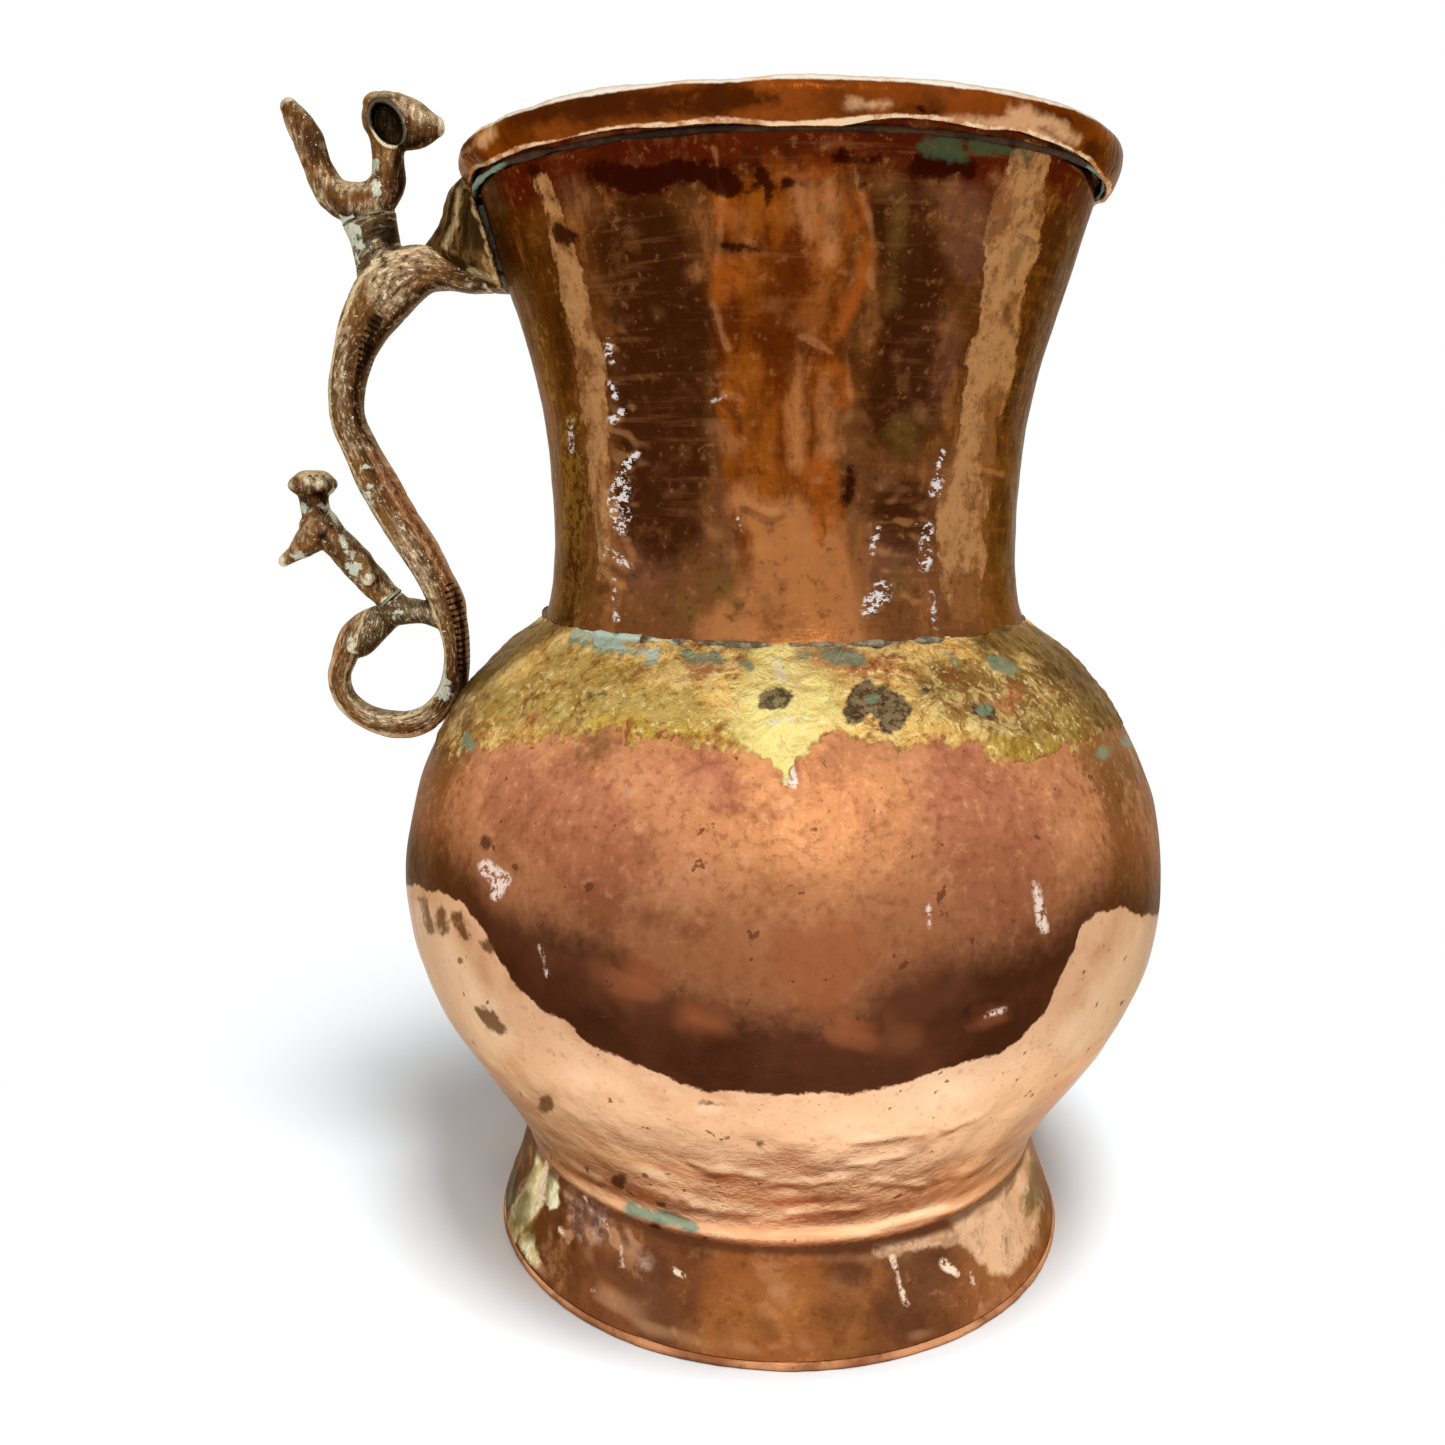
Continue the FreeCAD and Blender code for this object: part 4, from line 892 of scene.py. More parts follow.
spelter_edge = [
    (400, 770), (440, 752), (470, 744), (500, 744), (545, 738), (600, 733), (656, 741), (713, 746), (755, 744),
    (770, 762), (785, 786), (796, 764), (812, 750), (844, 737), (907, 748), (964, 742), (999, 758), (1061, 758),
    (1086, 742), (1119, 726), (1170, 716),
]
spelter, points = spelter_skin("shoulder_spelter", round_places(430, 110), 78)
place_in("shoulder_spelter", "spelter", "shoulder_braze")
columns, rows = seen_place(points)
mark(
    spelter, columns, rows,
    # gold: brighter down the front, a painted sheen
    gold=[[(776, 650, 50), (780, 700, 100), (786, 760, 50)]],
    # painted shade toward the left and right sides
    dim=[[(940, 690, 60), (1060, 710, 130), (1120, 750, 110)], [(470, 690, 40), (440, 760, 40)]],
    ochre=[[(600, 726, 14), (700, 736, 16), (760, 740, 16)], [(980, 744, 16), (1050, 750, 20)]],
    green=[
        [(500, 700, 50), (600, 712, 60), (690, 716, 44), (740, 730, 20)], [(560, 660, 30), (640, 672, 20)],
        [(1040, 735, 44), (1090, 712, 46)], [(960, 728, 16)],
    ],
    scab=[
        [(766, 702, 20), (778, 700, 24)], [(858, 712, 26), (868, 696, 30), (892, 708, 36), (888, 722, 22)],
        [(974, 710, 12), (988, 714, 12)], [(926, 690, 7)], [(590, 696, 8), (604, 694, 7)],
    ],
    teal=[
        [(996, 664, 15), (1010, 672, 10)], [(874, 698, 10)], [(982, 712, 9)], [(1126, 738, 10)], [(470, 744, 12)],
        [(575, 640, 10), (632, 652, 12)], [(690, 656, 6), (750, 664, 8)], [(800, 654, 6), (860, 658, 9)],
        [(935, 654, 9), (958, 660, 7)],
    ],
    glint=[
        [(778, 662, 8), (782, 674, 8)], [(772, 722, 8), (790, 720, 5)], [(796, 772, 4), (788, 786, 4)],
        [(806, 718, 6)],
    ],
    bare=[
        [(800, 652, 20), (850, 662, 26), (900, 668, 18)], [(700, 672, 16), (740, 668, 14)], [(620, 660, 10)],
        [(1010, 700, 30)], [(530, 722, 16)],
    ],
    crust=[[(572, 631, 8), (600, 641, 10), (628, 649, 9), (652, 654, 7)]],
    # darker strips from the neck's foot out toward the left and right ends
    murk=[
        [(966, 646, 12), (1000, 640, 30), (1030, 640, 40), (1062, 662, 40), (1090, 690, 38), (1122, 728, 38),
         (1150, 765, 40)],
        [(566, 624, 18), (528, 636, 30), (490, 660, 26), (455, 694, 22), (425, 735, 22)],
    ],
)

yellow = Finish("brass spelter", 0.88, 110)
broad = yellow.noise(42, 5, 0.62, warp=0.6)
curls = yellow.noise(150, 6, 0.72, warp=1.1)
grit = yellow.noise(620, 5, 0.7)
body = yellow.between(broad, 0.4, 0.6, (216, 164, 84), (255, 208, 118))
body = yellow.coats(body, [
    # painted shade toward the sides
    ("dim", (126, 84, 36), 0.85, 22, 60),
    (curls, (255, 222, 144), 0.75, 0.47, 0.56),
    ("green", (170, 140, 62), 0.65, 12, 90),
    ("ochre", (206, 168, 62), 0.7, 5, 50),
    # painted sheen down the front
    ("gold", (255, 230, 132), 0.9, 20, 80),
    ("bare", (186, 106, 62), 0.75, 6, 70),
    (curls, (126, 74, 30), 0.7, 0.44, 0.36),
    (yellow.noise(95, 5, 0.7, warp=1.0), (140, 68, 40), 0.6, 0.555, 0.62),
    (grit, (98, 60, 22), 0.6, 0.57, 0.66),
    # painted sheen down the front
    ("gold", (255, 238, 156), 0.6, 20, 80),
    # painted shade toward the sides
    ("dim", (120, 84, 36), 0.3, 22, 60),
    (grit, (255, 238, 176), 0.7, 0.44, 0.35),
    (yellow.field("inside") + yellow.edge * 16, yellow.between(grit, 0.45, 0.55, (196, 150, 66), (146, 84, 52)), 0.8,
     9, 1),
    (yellow.field("scab") + yellow.edge * 26, yellow.between(grit, 0.45, 0.55, (54, 36, 24), (132, 112, 84)), 0.92,
     -2, 2),
    # darker toward the left and right ends
    ("murk", yellow.between(curls, 0.42, 0.58, (70, 46, 14), (122, 90, 36)), 0.85, 7, 40),
    ("teal", (126, 146, 118), 0.8, 3, 40),
    ("crust", (190, 208, 190), 0.9, 3, 50),
    ("glint", (255, 246, 214), 0.8, 4, 30),
])
relief = broad * 0.4 + curls * 0.9 + yellow.fine * 0.4 + grit * 0.3
dress(spelter, yellow.wear(
    Base_Color=body, Roughness=yellow.blend(curls, 0.26, 0.46), Normal=yellow.bump(relief, 0.9, 0.0012),
))

# Solder bead at the neck's foot


def bead(name, radius, height, gauge, azimuths, seed, swell):
    """A bead round the axis: a ring whose section swells and sinks, and whose middle line wanders."""
    turn = np.linspace(0, 2 * math.pi, 14, endpoint=False)
    circle = round_points(np.array([[radius, height]]), azimuths)[0]
    way = round_points(np.array([[1.0, 0.0]]), azimuths)[0]
    size = gauge * (1 + swell * ripple(circle, 14, seed) + 0.5 * swell * ripple(circle, 5, seed + 1))
    points = circle[None] + way[None] * (size * np.cos(turn)[:, None])[..., None]
    points[..., 2] = height + 0.25 * swell * ripple(circle, 20, seed + 2) + size * np.sin(turn)[:, None]
    points, faces = closed(points, False)
    return new_piece(name, points, faces), points


neck_bead, points = bead("neck_foot_solder", 59.1, 160.3, 0.9, round_places(420, 110), 41, 0.5)
place_in("neck_foot_solder", "solder", "neck_solder")
columns, rows = seen_place(points)
mark(
    neck_bead, columns, rows,
    pale=[[(572, 626, 22), (602, 636, 22), (632, 642, 20)], [(638, 652, 20), (670, 652, 22)]],
    grey=[
        [(640, 650, 30), (700, 652, 30), (750, 650, 26)], [(764, 640, 22), (860, 648, 24)],
        [(840, 645, 24), (960, 640, 26)],
    ],
)
lead = Finish("solder at the neck", 0.55)
edge = lead.noise(120, 6, 0.65) - 0.5
fine = lead.noise(500, 4, 0.65)
body = lead.between(edge, -0.1, 0.14, (80, 50, 22), (118, 84, 44))
body = lead.coats(body, [
    (lead.field("grey") + edge * 90, lead.between(fine, 0.4, 0.6, (92, 92, 72), (152, 142, 118)), 0.85, -5, 6),
    (lead.field("pale") + edge * 70, (190, 206, 186), 0.95, -3, 4),
])
dress(neck_bead, lead.wear(Base_Color=body, Roughness=0.55, Normal=lead.bump(fine, 0.7, 0.0007)))

# Rim band: a folded strip whose lower edge waves and whose lip is hammered


BAND_LINE = [
    (73.9, 258.4), (75.4, 260.6), (76.5, 263.4), (76.45, 265), (75.6, 266.5), (74.3, 267.2), (72.6, 266.9),
    (71.5, 265.6), (70.9, 263.5), (70.4, 261.8),
]


def band_skin(name, azimuths, rows):
    """The band's line carried round the axis. Its foot rises and falls by a drawn run of heights, the more
    the nearer a place is to the foot, and the whole band wanders by a slow ripple. The wall is 1 mm."""
    line = smooth_line(BAND_LINE, rows)
    normals = outward(line)
    back = np.linspace(rows - 1, 0, rows // 2).round().astype(int)
    inner = line[back] - normals[back] * 1.0
    points = round_points(np.concatenate([line, inner]), azimuths)
    columns, _ = seen_place(points)
    drawn = np.array(band_foot_heights)
    lift = np.interp(columns, drawn[:, 0], drawn[:, 1]) + 0.3 * ripple(points * np.array([1, 1, 0]), 15, 51)
    level = points[..., 2]
    share = soft_step(level, 264.5, 258.5)
    points[..., 2] += lift * share + 0.22 * ripple(points * np.array([1, 1, 0]), 40, 52)
    ways = round_points(np.concatenate([normals, normals[back]]), azimuths)
    work = 0.16 * ripple(points, 12, 53) + 0.16 * ripple(points, 34, 54) + 0.05 * ripple(points, 3, 55)
    dent = 0.4 * soft_step(strokes(*seen_place(points), [[(918, 110, 4), (922, 116, 4)]]), -4, 3)
    points += ways * (work - dent)[..., None]
    points, faces = closed(points, False)
    return new_piece(name, points, faces), points


band_foot_heights = [
    (440, 2.4), (480, 1.5), (520, 1.2), (560, 1.2), (600, 1.35), (640, 1.3), (700, 1.1), (740, 0.5), (770, 0.1),
    (840, 0.5), (870, 1.5), (905, 2.0), (960, 1.9), (1010, 1.95), (1050, 1.6), (1075, 0.8), (1090, 0.3), (1105, -1.4),
    (1125, -1.8),
]
band, points = band_skin("folded_rim_band", round_places(420, 120), 60)
place_in("folded_rim_band", "copper", "rim_band")
columns, rows = seen_place(points)
LIP_HEIGHT, LIP_REACH, HEM_HEIGHT = 266.0, 73.4, 259.1
hem_height = HEM_HEIGHT + np.interp(columns, *np.array(band_foot_heights).T) \
    + 0.3 * ripple(points * np.array([1, 1, 0]), 15, 51)
give(
    band,
    lip=np.minimum(points[:, 2] - LIP_HEIGHT, np.hypot(points[:, 0], points[:, 1]) - LIP_REACH),
    hem=hem_height - points[:, 2],
)
mark(
    band, columns, rows,
    dark=[
        [(520, 118, 22), (580, 106, 30), (700, 100, 34), (770, 98, 22)], [(1090, 150, 26), (1112, 160, 30)],
        [(905, 110, 10), (934, 112, 8)], [(1040, 112, 12), (1070, 122, 12)],
    ],
    # painted highlights on the band
    bright=[
        [(452, 160, 6), (470, 148, 8), (490, 132, 6)], [(1010, 112, 12), (1050, 124, 18), (1074, 140, 16)],
        [(940, 124, 6), (980, 122, 16), (1020, 124, 20), (1046, 140, 18), (1080, 160, 10)],
        [(1064, 132, 8), (1070, 150, 6)], [(850, 104, 5), (890, 104, 6)],
    ],
    verdigris=[[(484, 178, 6)], [(1098, 176, 4)]],
)

folded = Finish("folded copper of the rim", 0.98, 80)
broad = folded.noise(24, 5, 0.6)
mottle = folded.noise(90, 6, 0.7)
body = folded.between(broad, 0.36, 0.64, (98, 39, 2), (144, 70, 20))
body = folded.coats(body, [
    ("dark", (64, 24, 2), 0.9, 9, 40),
    # painted highlights
    ("bright", (232, 178, 128), 0.8, 6, 34),
    (mottle, (76, 36, 12), 0.45, 0.52, 0.68),
    (mottle, (186, 100, 38), 0.25, 0.46, 0.34),
    (folded.fine, (66, 32, 12), 0.4, 0.55, 0.7),
    # a pale lip: worn paler copper with a painted highlight
    ("lip", folded.between(mottle, 0.42, 0.52, (250, 222, 190), (255, 247, 230)), 0.95, 0.25, 1.2),
    # a thin painted highlight along the band's lower edge
    ("hem", folded.between(mottle, 0.44, 0.56, (196, 132, 84), (255, 220, 178)), 0.92, 0.2, 1.6),
    ("verdigris", (150, 170, 146), 0.8, 2, 14),
])
relief = folded.cells(110) * 0.4 + mottle * 0.5 + folded.fine * 0.2
folded_skin = folded.wear(
    Base_Color=body, Roughness=0.28 + (folded.fine - 0.5) * 0.25, Normal=folded.bump(relief, 0.6, 0.0011),
)
dress(band, folded_skin)

# Solder line under the band, dark brown as the band's painted shadow

rim_bead, points = bead("rim_solder_line", 72.9, 258.7, 0.62, round_places(420, 120), 61, 0.3)
place_in("rim_solder_line", "solder", "rim_solder")
columns, rows = seen_place(points)
mark(rim_bead, columns, rows, pale=[[(470, 182, 20), (500, 162, 14)], [(1096, 176, 24), (1104, 190, 20)]])
green = Finish("dark solder at the rim", 0.3)
# dark brown: painted shadow under the band's edge over the solder, with pale solder at the ends
body = green.between(green.edge, -0.1, 0.1, (34, 18, 8), (74, 48, 26))
body = green.lay(body, "pale", shade(150, 172, 150), 0.85, 4, 20)
dress(rim_bead, green.wear(Base_Color=body, Roughness=0.7, Normal=green.bump(green.fine, 0.6, 0.0006)))

# Foot ring: a flared strip with a brass lap seam and a crumpled place at its left


FOOT_LINE = [
    (74.5, 2.1), (73.5, 4.5), (72.0, 8.0), (70.6, 12.0), (69.3, 16.5), (68.1, 20.2), (67.2, 23.2), (66.3, 25.5),
]
patch = [[(546, 1150, 16), (540, 1180, 24), (530, 1196, 30), (516, 1228, 24), (509, 1244, 14)]]
crumple = [[(560, 1170, 20), (574, 1184, 30), (596, 1216, 40), (570, 1232, 30)], [(588, 1180, 10), (622, 1236, 12)]]


def foot_dents(points):
    """Dents on the foot ring: slow waves, a raised lap at the seam and sharp folds beside it."""
    waves = 0.36 * ripple(points * np.array([1, 1, 0.5]), 34, 71) + 0.2 * ripple(points, 12, 72)
    columns, rows = seen_place(points)
    lap = 0.55 * soft_step(strokes(columns, rows, patch), -3, 3)
    share = soft_step(strokes(columns, rows, crumple), -10, 12)
    folds = share * (0.5 * ripple(points * np.array([1, 1, 0.6]), 8, 73) + 0.2 * ripple(points, 4, 74) - 0.3)
    folds = folds + 0.25 * soft_step(strokes(columns, rows, [[(1010, 1180, 70), (1030, 1240, 40)]]), -10, 20) * ripple(
        points * np.array([1, 1, 0.5]), 9, 75)
    level = points[..., 2]
    free = soft_step(level, 2.2, 6) * soft_step(level, 24.4, 21)
    return (waves + lap + folds) * (0.25 + 0.75 * free)


foot = Sheet("flared_foot_ring", FOOT_LINE, 1.2, round_places(400, 110), 74, 20, foot_dents)
place_in("flared_foot_ring", "copper", "foot_ring", "foot_seam_braze")
columns, rows = foot.columns, foot.rows
# top: the foot's top edge, where a painted shadow under the bowl's overhang is laid
give(foot.piece, top=foot.points[:, 2] - 23.4)
mark(
    foot.piece, columns, rows,
    brass=[
        [(540, 1136, 10), (548, 1152, 14), (556, 1166, 6)],
        [(546, 1152, 16), (538, 1180, 22), (530, 1200, 26), (516, 1224, 22), (508, 1242, 12)],
        [(554, 1176, 8), (552, 1204, 8)], [(526, 1240, 16), (536, 1262, 8)],
    ],
    olive=[
        [(526, 1196, 10), (518, 1222, 14)], [(524, 1216, 8), (530, 1236, 12)],
        [(1032, 1166, 10), (1034, 1190, 16), (1030, 1214, 8)], [(550, 1172, 6), (544, 1200, 6)],
        [(536, 1168, 5), (530, 1180, 4)],
    ],
    crumple=[[(566, 1160, 20), (586, 1190, 34), (592, 1222, 36)], [(620, 1240, 20), (640, 1262, 14)]],
    # centre: lighter front panel, a painted reflection
    centre=[[(762, 1262, 116), (764, 1350, 130)]],
    ochre=[
        [(740, 1320, 60), (780, 1300, 70)], [(792, 1260, 8), (788, 1330, 8)], [(850, 1340, 40)], [(700, 1340, 40)],
    ],
    dim=[
        # painted shade beside the front and under the bowl's overhang
        [(925, 1268, 66), (905, 1310, 56)], [(640, 1270, 50), (660, 1330, 50)], [(700, 1246, 14), (900, 1252, 12)],
        [(850, 1270, 30)],
    ],
    peach=[
        [(1012, 1160, 44), (1004, 1200, 76), (1000, 1236, 66), (1000, 1262, 30)], [(960, 1214, 20), (972, 1232, 30)],
        [(880, 1250, 8), (950, 1238, 10)],
    ],
    green=[[(556, 1158, 4), (574, 1174, 5), (596, 1190, 4)], [(514, 1172, 4), (508, 1204, 4)]],
    spark=[
        [(560, 1230, 4), (568, 1242, 4)], [(584, 1196, 3), (590, 1210, 3)], [(621, 1246, 5), (623, 1266, 5)],
        [(604, 1216, 3), (610, 1236, 3)], [(674, 1270, 2), (684, 1276, 3)], [(594, 1290, 3)],
        [(892, 1256, 1), (906, 1304, 3)], [(970, 1272, 2), (975, 1288, 3)], [(982, 1296, 2), (980, 1308, 3)],
        [(944, 1264, 8), (958, 1274, 5)], [(548, 1150, 4), (540, 1200, 5)],
    ],
)

rolled = Finish("copper of the foot", 0.94, 80)
broad = rolled.noise(22, 5, 0.62)
mottle = rolled.noise(80, 6, 0.7)
body = rolled.between(broad, 0.38, 0.62, (106, 60, 32), (148, 90, 50))
body = rolled.coats(body, [
    # painted shade
    ("dim", (104, 62, 38), 0.8, 14, 40),
    # painted reflection down the front
    ("centre", (158, 92, 46), 0.85, 12, 50),
    ("ochre", (168, 106, 52), 0.5, 14, 70),
    ("crumple", rolled.between(mottle, 0.44, 0.56, (122, 88, 74), (218, 176, 150)), 0.85, 8, 40),
    ("peach", (234, 186, 144), 0.95, 4, 34),
    (mottle, (88, 46, 24), 0.5, 0.5, 0.66),
    (mottle, (204, 142, 94), 0.35, 0.46, 0.36),
    (rolled.fine, (82, 42, 22), 0.4, 0.55, 0.7),
])
brass = rolled.between(mottle, 0.42, 0.58, (216, 192, 128), (255, 246, 204))
# painted light and shade on the hammer dents
body = rolled.worked(body, shade(226, 168, 122), shade(72, 36, 20), 0.4)
grains = rolled.step(rolled.noise(700, 3, 0.7), 0.40, 0.50)
body = rolled.coats(body, [
    ("brass", brass, 0.95, 2.5, 20),
    ("olive", (112, 90, 40), 0.75, 4, 30),
    # painted shadow under the bowl's overhang
    ("top", (88, 48, 28), 0.8, 0.8, 2.2),
    ("green", (118, 132, 112), 0.8, 1.5, 12),
    (rolled.field("spark") + rolled.edge * 18, (246, 214, 184), grains, -2, 2),
])
body = rolled.lined(body)
relief = rolled.cells(90) * 0.4 + mottle * 0.6 + rolled.fine * 0.2
rolled_skin = rolled.wear(
    Base_Color=body, Roughness=0.3 + (rolled.fine - 0.5) * 0.25, Normal=rolled.bump(relief, 0.75, 0.0014),
)
dress(foot.piece, rolled_skin)


def edge_wire(name, azimuths):
    """The wire along the foot's edge: a ring of 1.2 mm radius, worn flat at the floor, a little bent."""
    turn = np.linspace(0, 2 * math.pi, 18, endpoint=False)
    circle = round_points(np.array([[73.85, 0.95]]), azimuths)[0]
    way = round_points(np.array([[1.0, 0.0]]), azimuths)[0]
    size = 1.2 + 0.1 * ripple(circle, 16, 81) + 0.05 * ripple(circle, 5, 82)
    points = circle[None] + way[None] * (size * np.cos(turn)[:, None])[..., None]
    points[..., 2] = np.maximum(0.95 + size * np.sin(turn)[:, None], 0)
    points, faces = closed(points, False)
    return new_piece(name, points, faces), points


wire, points = edge_wire("foot_edge_ring", round_places(420, 120))
place_in("foot_edge_ring", "copper", "foot_edge_wire")
wire_finish = Finish("worn copper wire", 0.9)
fine = wire_finish.noise(480, 4, 0.62)
broad = wire_finish.noise(40, 4, 0.6)
body = wire_finish.between(broad, 0.35, 0.62, (150, 92, 56), (222, 158, 112))
body = wire_finish.mix(wire_finish.step(fine, 0.55, 0.7) * 0.5, body, shade(90, 48, 26))
wire_copper = wire_finish.wear(Base_Color=body, Roughness=0.3, Normal=wire_finish.bump(fine, 0.5, 0.0006))
dress(wire, wire_copper)

# Handle, cast in one: the bar with its scroll ring, the serpent's head, the bridge and the stem


BAR = [
    (-70.6, 240.4, 5.2, 12), (-76, 241.0, 6.4, 11.5), (-81.5, 242.6, 8.3, 11), (-86.5, 243.2, 11, 11),
    (-93, 240.8, 13.5, 11), (-97.9, 236.2, 13.6, 10.5), (-102.4, 229, 10.9, 10), (-105.8, 221.5, 8.6, 10),
    (-107.4, 213.9, 7.6, 10), (-107.0, 207.0, 7.6, 10), (-104.7, 201.5, 8.0, 10), (-101.9, 195.2, 8.9, 10),
    (-95.8, 183.6, 9.2, 10), (-88.3, 171.1, 8.6, 10), (-84.4, 161, 7.9, 9.5), (-82.9, 150.5, 6.0, 9),
    (-83.8, 142.5, 6.2, 9), (-87.3, 136.6, 6.4, 9), (-93.3, 132.3, 6.9, 9), (-100.2, 131.6, 6.2, 8.5),
    (-107.2, 133.8, 5.3, 8), (-111.8, 138.2, 5.0, 7.5), (-113.1, 144.1, 5.2, 7), (-111.6, 148.6, 5.6, 7),
]
SERPENT = [
    (-112.4, 147.6, 4.8, 6.4), (-111, 150.5, 6.5, 7.4), (-108.7, 153, 9.3, 8.4), (-105.6, 155.8, 9.8, 8.4),
    (-102, 158.2, 8.4, 8.0), (-98.5, 160.2, 6.3, 7.2),
]
BRIDGE = [(-86, 158.5, 5.3, 7.6), (-90, 160.3, 5.7, 8.2), (-94.5, 160.8, 6.6, 8.4), (-98, 160.6, 7.3, 8.0)]
STEM = [
    (-96.8, 239.5, 12.4, 10.0), (-97.2, 242, 12.0, 9.8), (-97.6, 245, 11.6, 9.6), (-98.4, 250, 11.8, 9.8),
    (-99.6, 254.6, 13.4, 10.4),
]
# Where each bird's joint crosses the middle plane, and how far the joint leans
THUMB_JOINT = (-98.9, 254.6, math.radians(17))
CRESTED_JOINT = (-99.0, 163.7, math.radians(41))


def clear_of_vessel(places):
    """Moves points out from the axis until they stand 1.4 mm off the neck and 0.4 mm off the bowl."""
    reach = np.hypot(places[:, 0], places[:, 1])
    least = np.where(places[:, 2] > 164, neck_radius(places[:, 2]) + 1.4, bowl_radius(places[:, 2]) + 0.4)
    places[:, :2] *= (np.maximum(reach, least) / np.maximum(reach, 1e-6))[:, None]
    return places


def below_joint(places, x, z, lean, gap):
    """Lays points that pass a leaning joint plane back onto it."""
    along = np.array([-math.sin(lean), 0, math.cos(lean)])
    over = (places - np.array([x, 0, z])) @ along + gap
    return np.where(over > 0, over, 0)[:, None] * along


def handle_shape(places, normals):
    """The casting's skin: slow lumps, small lumps and pits."""
    lumps = 0.15 * ripple(places, 12, 101) + 0.05 * ripple(places, 5, 102)
    pits = np.clip(ripple(places, 3.4, 104) - 0.7, 0, 1) * 0.25
    places = places + normals * (lumps - pits)[:, None]
    thumb = (places[:, 2] > 248) & (np.abs(places[:, 0] + 99) < 12)
    places -= np.where(thumb[:, None], below_joint(places, *THUMB_JOINT, 0.0), 0)
    return clear_of_vessel(places)


handle, points = casting("cast_handle", [
    limb(BAR, 190, 36, 3.6, 0.1, 0.5), limb(SERPENT, 40, 28, 2.4), limb(BRIDGE, 30, 24, 2.4),
    limb(STEM, 30, 28, 2.0, 0.3, 0.4),
    ball(-108.1, -3.9, 152.1, 1.9, 1.5, 1.9), ball(-108.1, 3.9, 152.1, 1.9, 1.5, 1.9),
    round_limb([(-95.8, 160.0, 3.2), (-98.4, 162.9, 3.4), (-99.0, 163.6, 3.5)], 12, low_cap=0.4, high_cap=0.02),
], 0.48, 6, handle_shape)
place_in("cast_handle", "cast_brass", "handle")


def along_bar(points):
    """For each point, how far along the bar it lies, and how far towards the vessel, in half widths."""
    course = smooth_line(BAR, 300)
    run = np.gradient(course[:, :2], axis=0)
    steps = np.concatenate([[0], np.cumsum(np.linalg.norm(np.diff(course[:, :2], axis=0), axis=1))])
    run /= np.linalg.norm(run, axis=1)[:, None]
    flat = points[:, [0, 2]]
    nearest = np.argmin(((flat[:, None, :] - course[None, :, :2]) ** 2).sum(axis=2), axis=1)
    offset = flat - course[nearest, :2]
    inward = (offset[:, 1] * run[nearest, 0] - offset[:, 0] * run[nearest, 1]) / (course[nearest, 2] / 2)
    return steps[nearest] + (offset * run[nearest]).sum(axis=1), inward


along, inward = along_bar(points)
columns, rows = photo_place(points)
give(handle, along=along, inward=inward)
mark(
    handle, columns, rows,
    notch=[[(376, 316, 16), (368, 340, 18), (364, 372, 16)], [(452, 590, 16), (462, 630, 16), (464, 668, 14)]],
    # worn: lighter places, partly wear and partly painted highlights along edges
    worn=[
        [(395, 250, 50), (385, 290, 40)], [(346, 330, 6), (340, 400, 6), (352, 450, 6)],
        [(400, 520, 12), (430, 590, 14)], [(350, 690, 10), (372, 716, 12), (430, 716, 14)],
        [(412, 256, 16), (436, 262, 10)], [(376, 622, 16), (352, 640, 18)], [(400, 612, 10), (436, 612, 14)],
    ],
    dusky=[
        [(372, 350, 16), (360, 400, 18), (372, 470, 14)], [(366, 240, 16), (372, 262, 14)],
        [(400, 560, 10), (426, 600, 10)], [(456, 600, 10), (462, 670, 12), (450, 700, 12)],
        [(400, 300, 10), (450, 282, 8)], [(452, 272, 12), (506, 286, 16)], [(384, 236, 22), (386, 230, 20)],
    ],
    # deep: painted shade in gaps and notches
    deep=[
        [(380, 231, 18), (390, 236, 20)], [(376, 320, 8), (368, 344, 10), (363, 372, 8)],
        [(456, 590, 6), (463, 630, 8), (464, 668, 8), (458, 690, 6)], [(356, 630, 4)], [(404, 642, 6), (410, 630, 5)],
    ],
    deposit=[
        [(350, 232, 7), (357, 246, 7)], [(352, 262, 6), (345, 300, 6)], [(362, 470, 3), (372, 500, 4)],
        [(380, 606, 4), (396, 612, 5)], [(440, 640, 4), (441, 690, 5)], [(352, 640, 3)],
    ],
)

# The two birds, each cast by itself


JOINT_GAP = 0.6  # millimetres that each bird's foot stands above its joint's plane
EYE_X, EYE_Z = -93.4, 275.2


def sunk_below(places, joint):
    """How far places lie under the plane a gap above a joint, as steps along the joint's lean, or nought."""
    joint_x, joint_z, lean = joint
    along = np.array([-math.sin(lean), 0, math.cos(lean)])
    under = np.minimum((places - np.array([joint_x, 0, joint_z])) @ along - JOINT_GAP, 0)
    return under[:, None] * along


def eye_distance(places):
    """How far places lie from the middle of the thumb bird's eye, a leaning oval, a third taller than wide."""
    across, up = places[:, 0] - EYE_X, places[:, 2] - EYE_Z
    return np.hypot(across + 0.22 * up, 0.78 * up) * 1.1


def thumb_bird_shape(places, normals):
    """Lumps on the skin, an oval eye sunk 3 mm into each side of the head with a low rim, and a flat foot."""
    lumps = 0.12 * ripple(places, 7, 111) + 0.05 * ripple(places, 3, 112)
    places = places + normals * lumps[:, None]
    away = eye_distance(places)
    side = np.abs(places[:, 1]) > 1.5
    sunk = 3.0 * soft_step(away, 4.0, 3.3) - 0.12 * np.exp(-(((away - 4.3) / 0.4) ** 2))
    places[:, 1] -= np.where(side, np.sign(places[:, 1]) * np.minimum(sunk, np.abs(places[:, 1]) - 1.2), 0)
    return places - sunk_below(places, THUMB_JOINT)


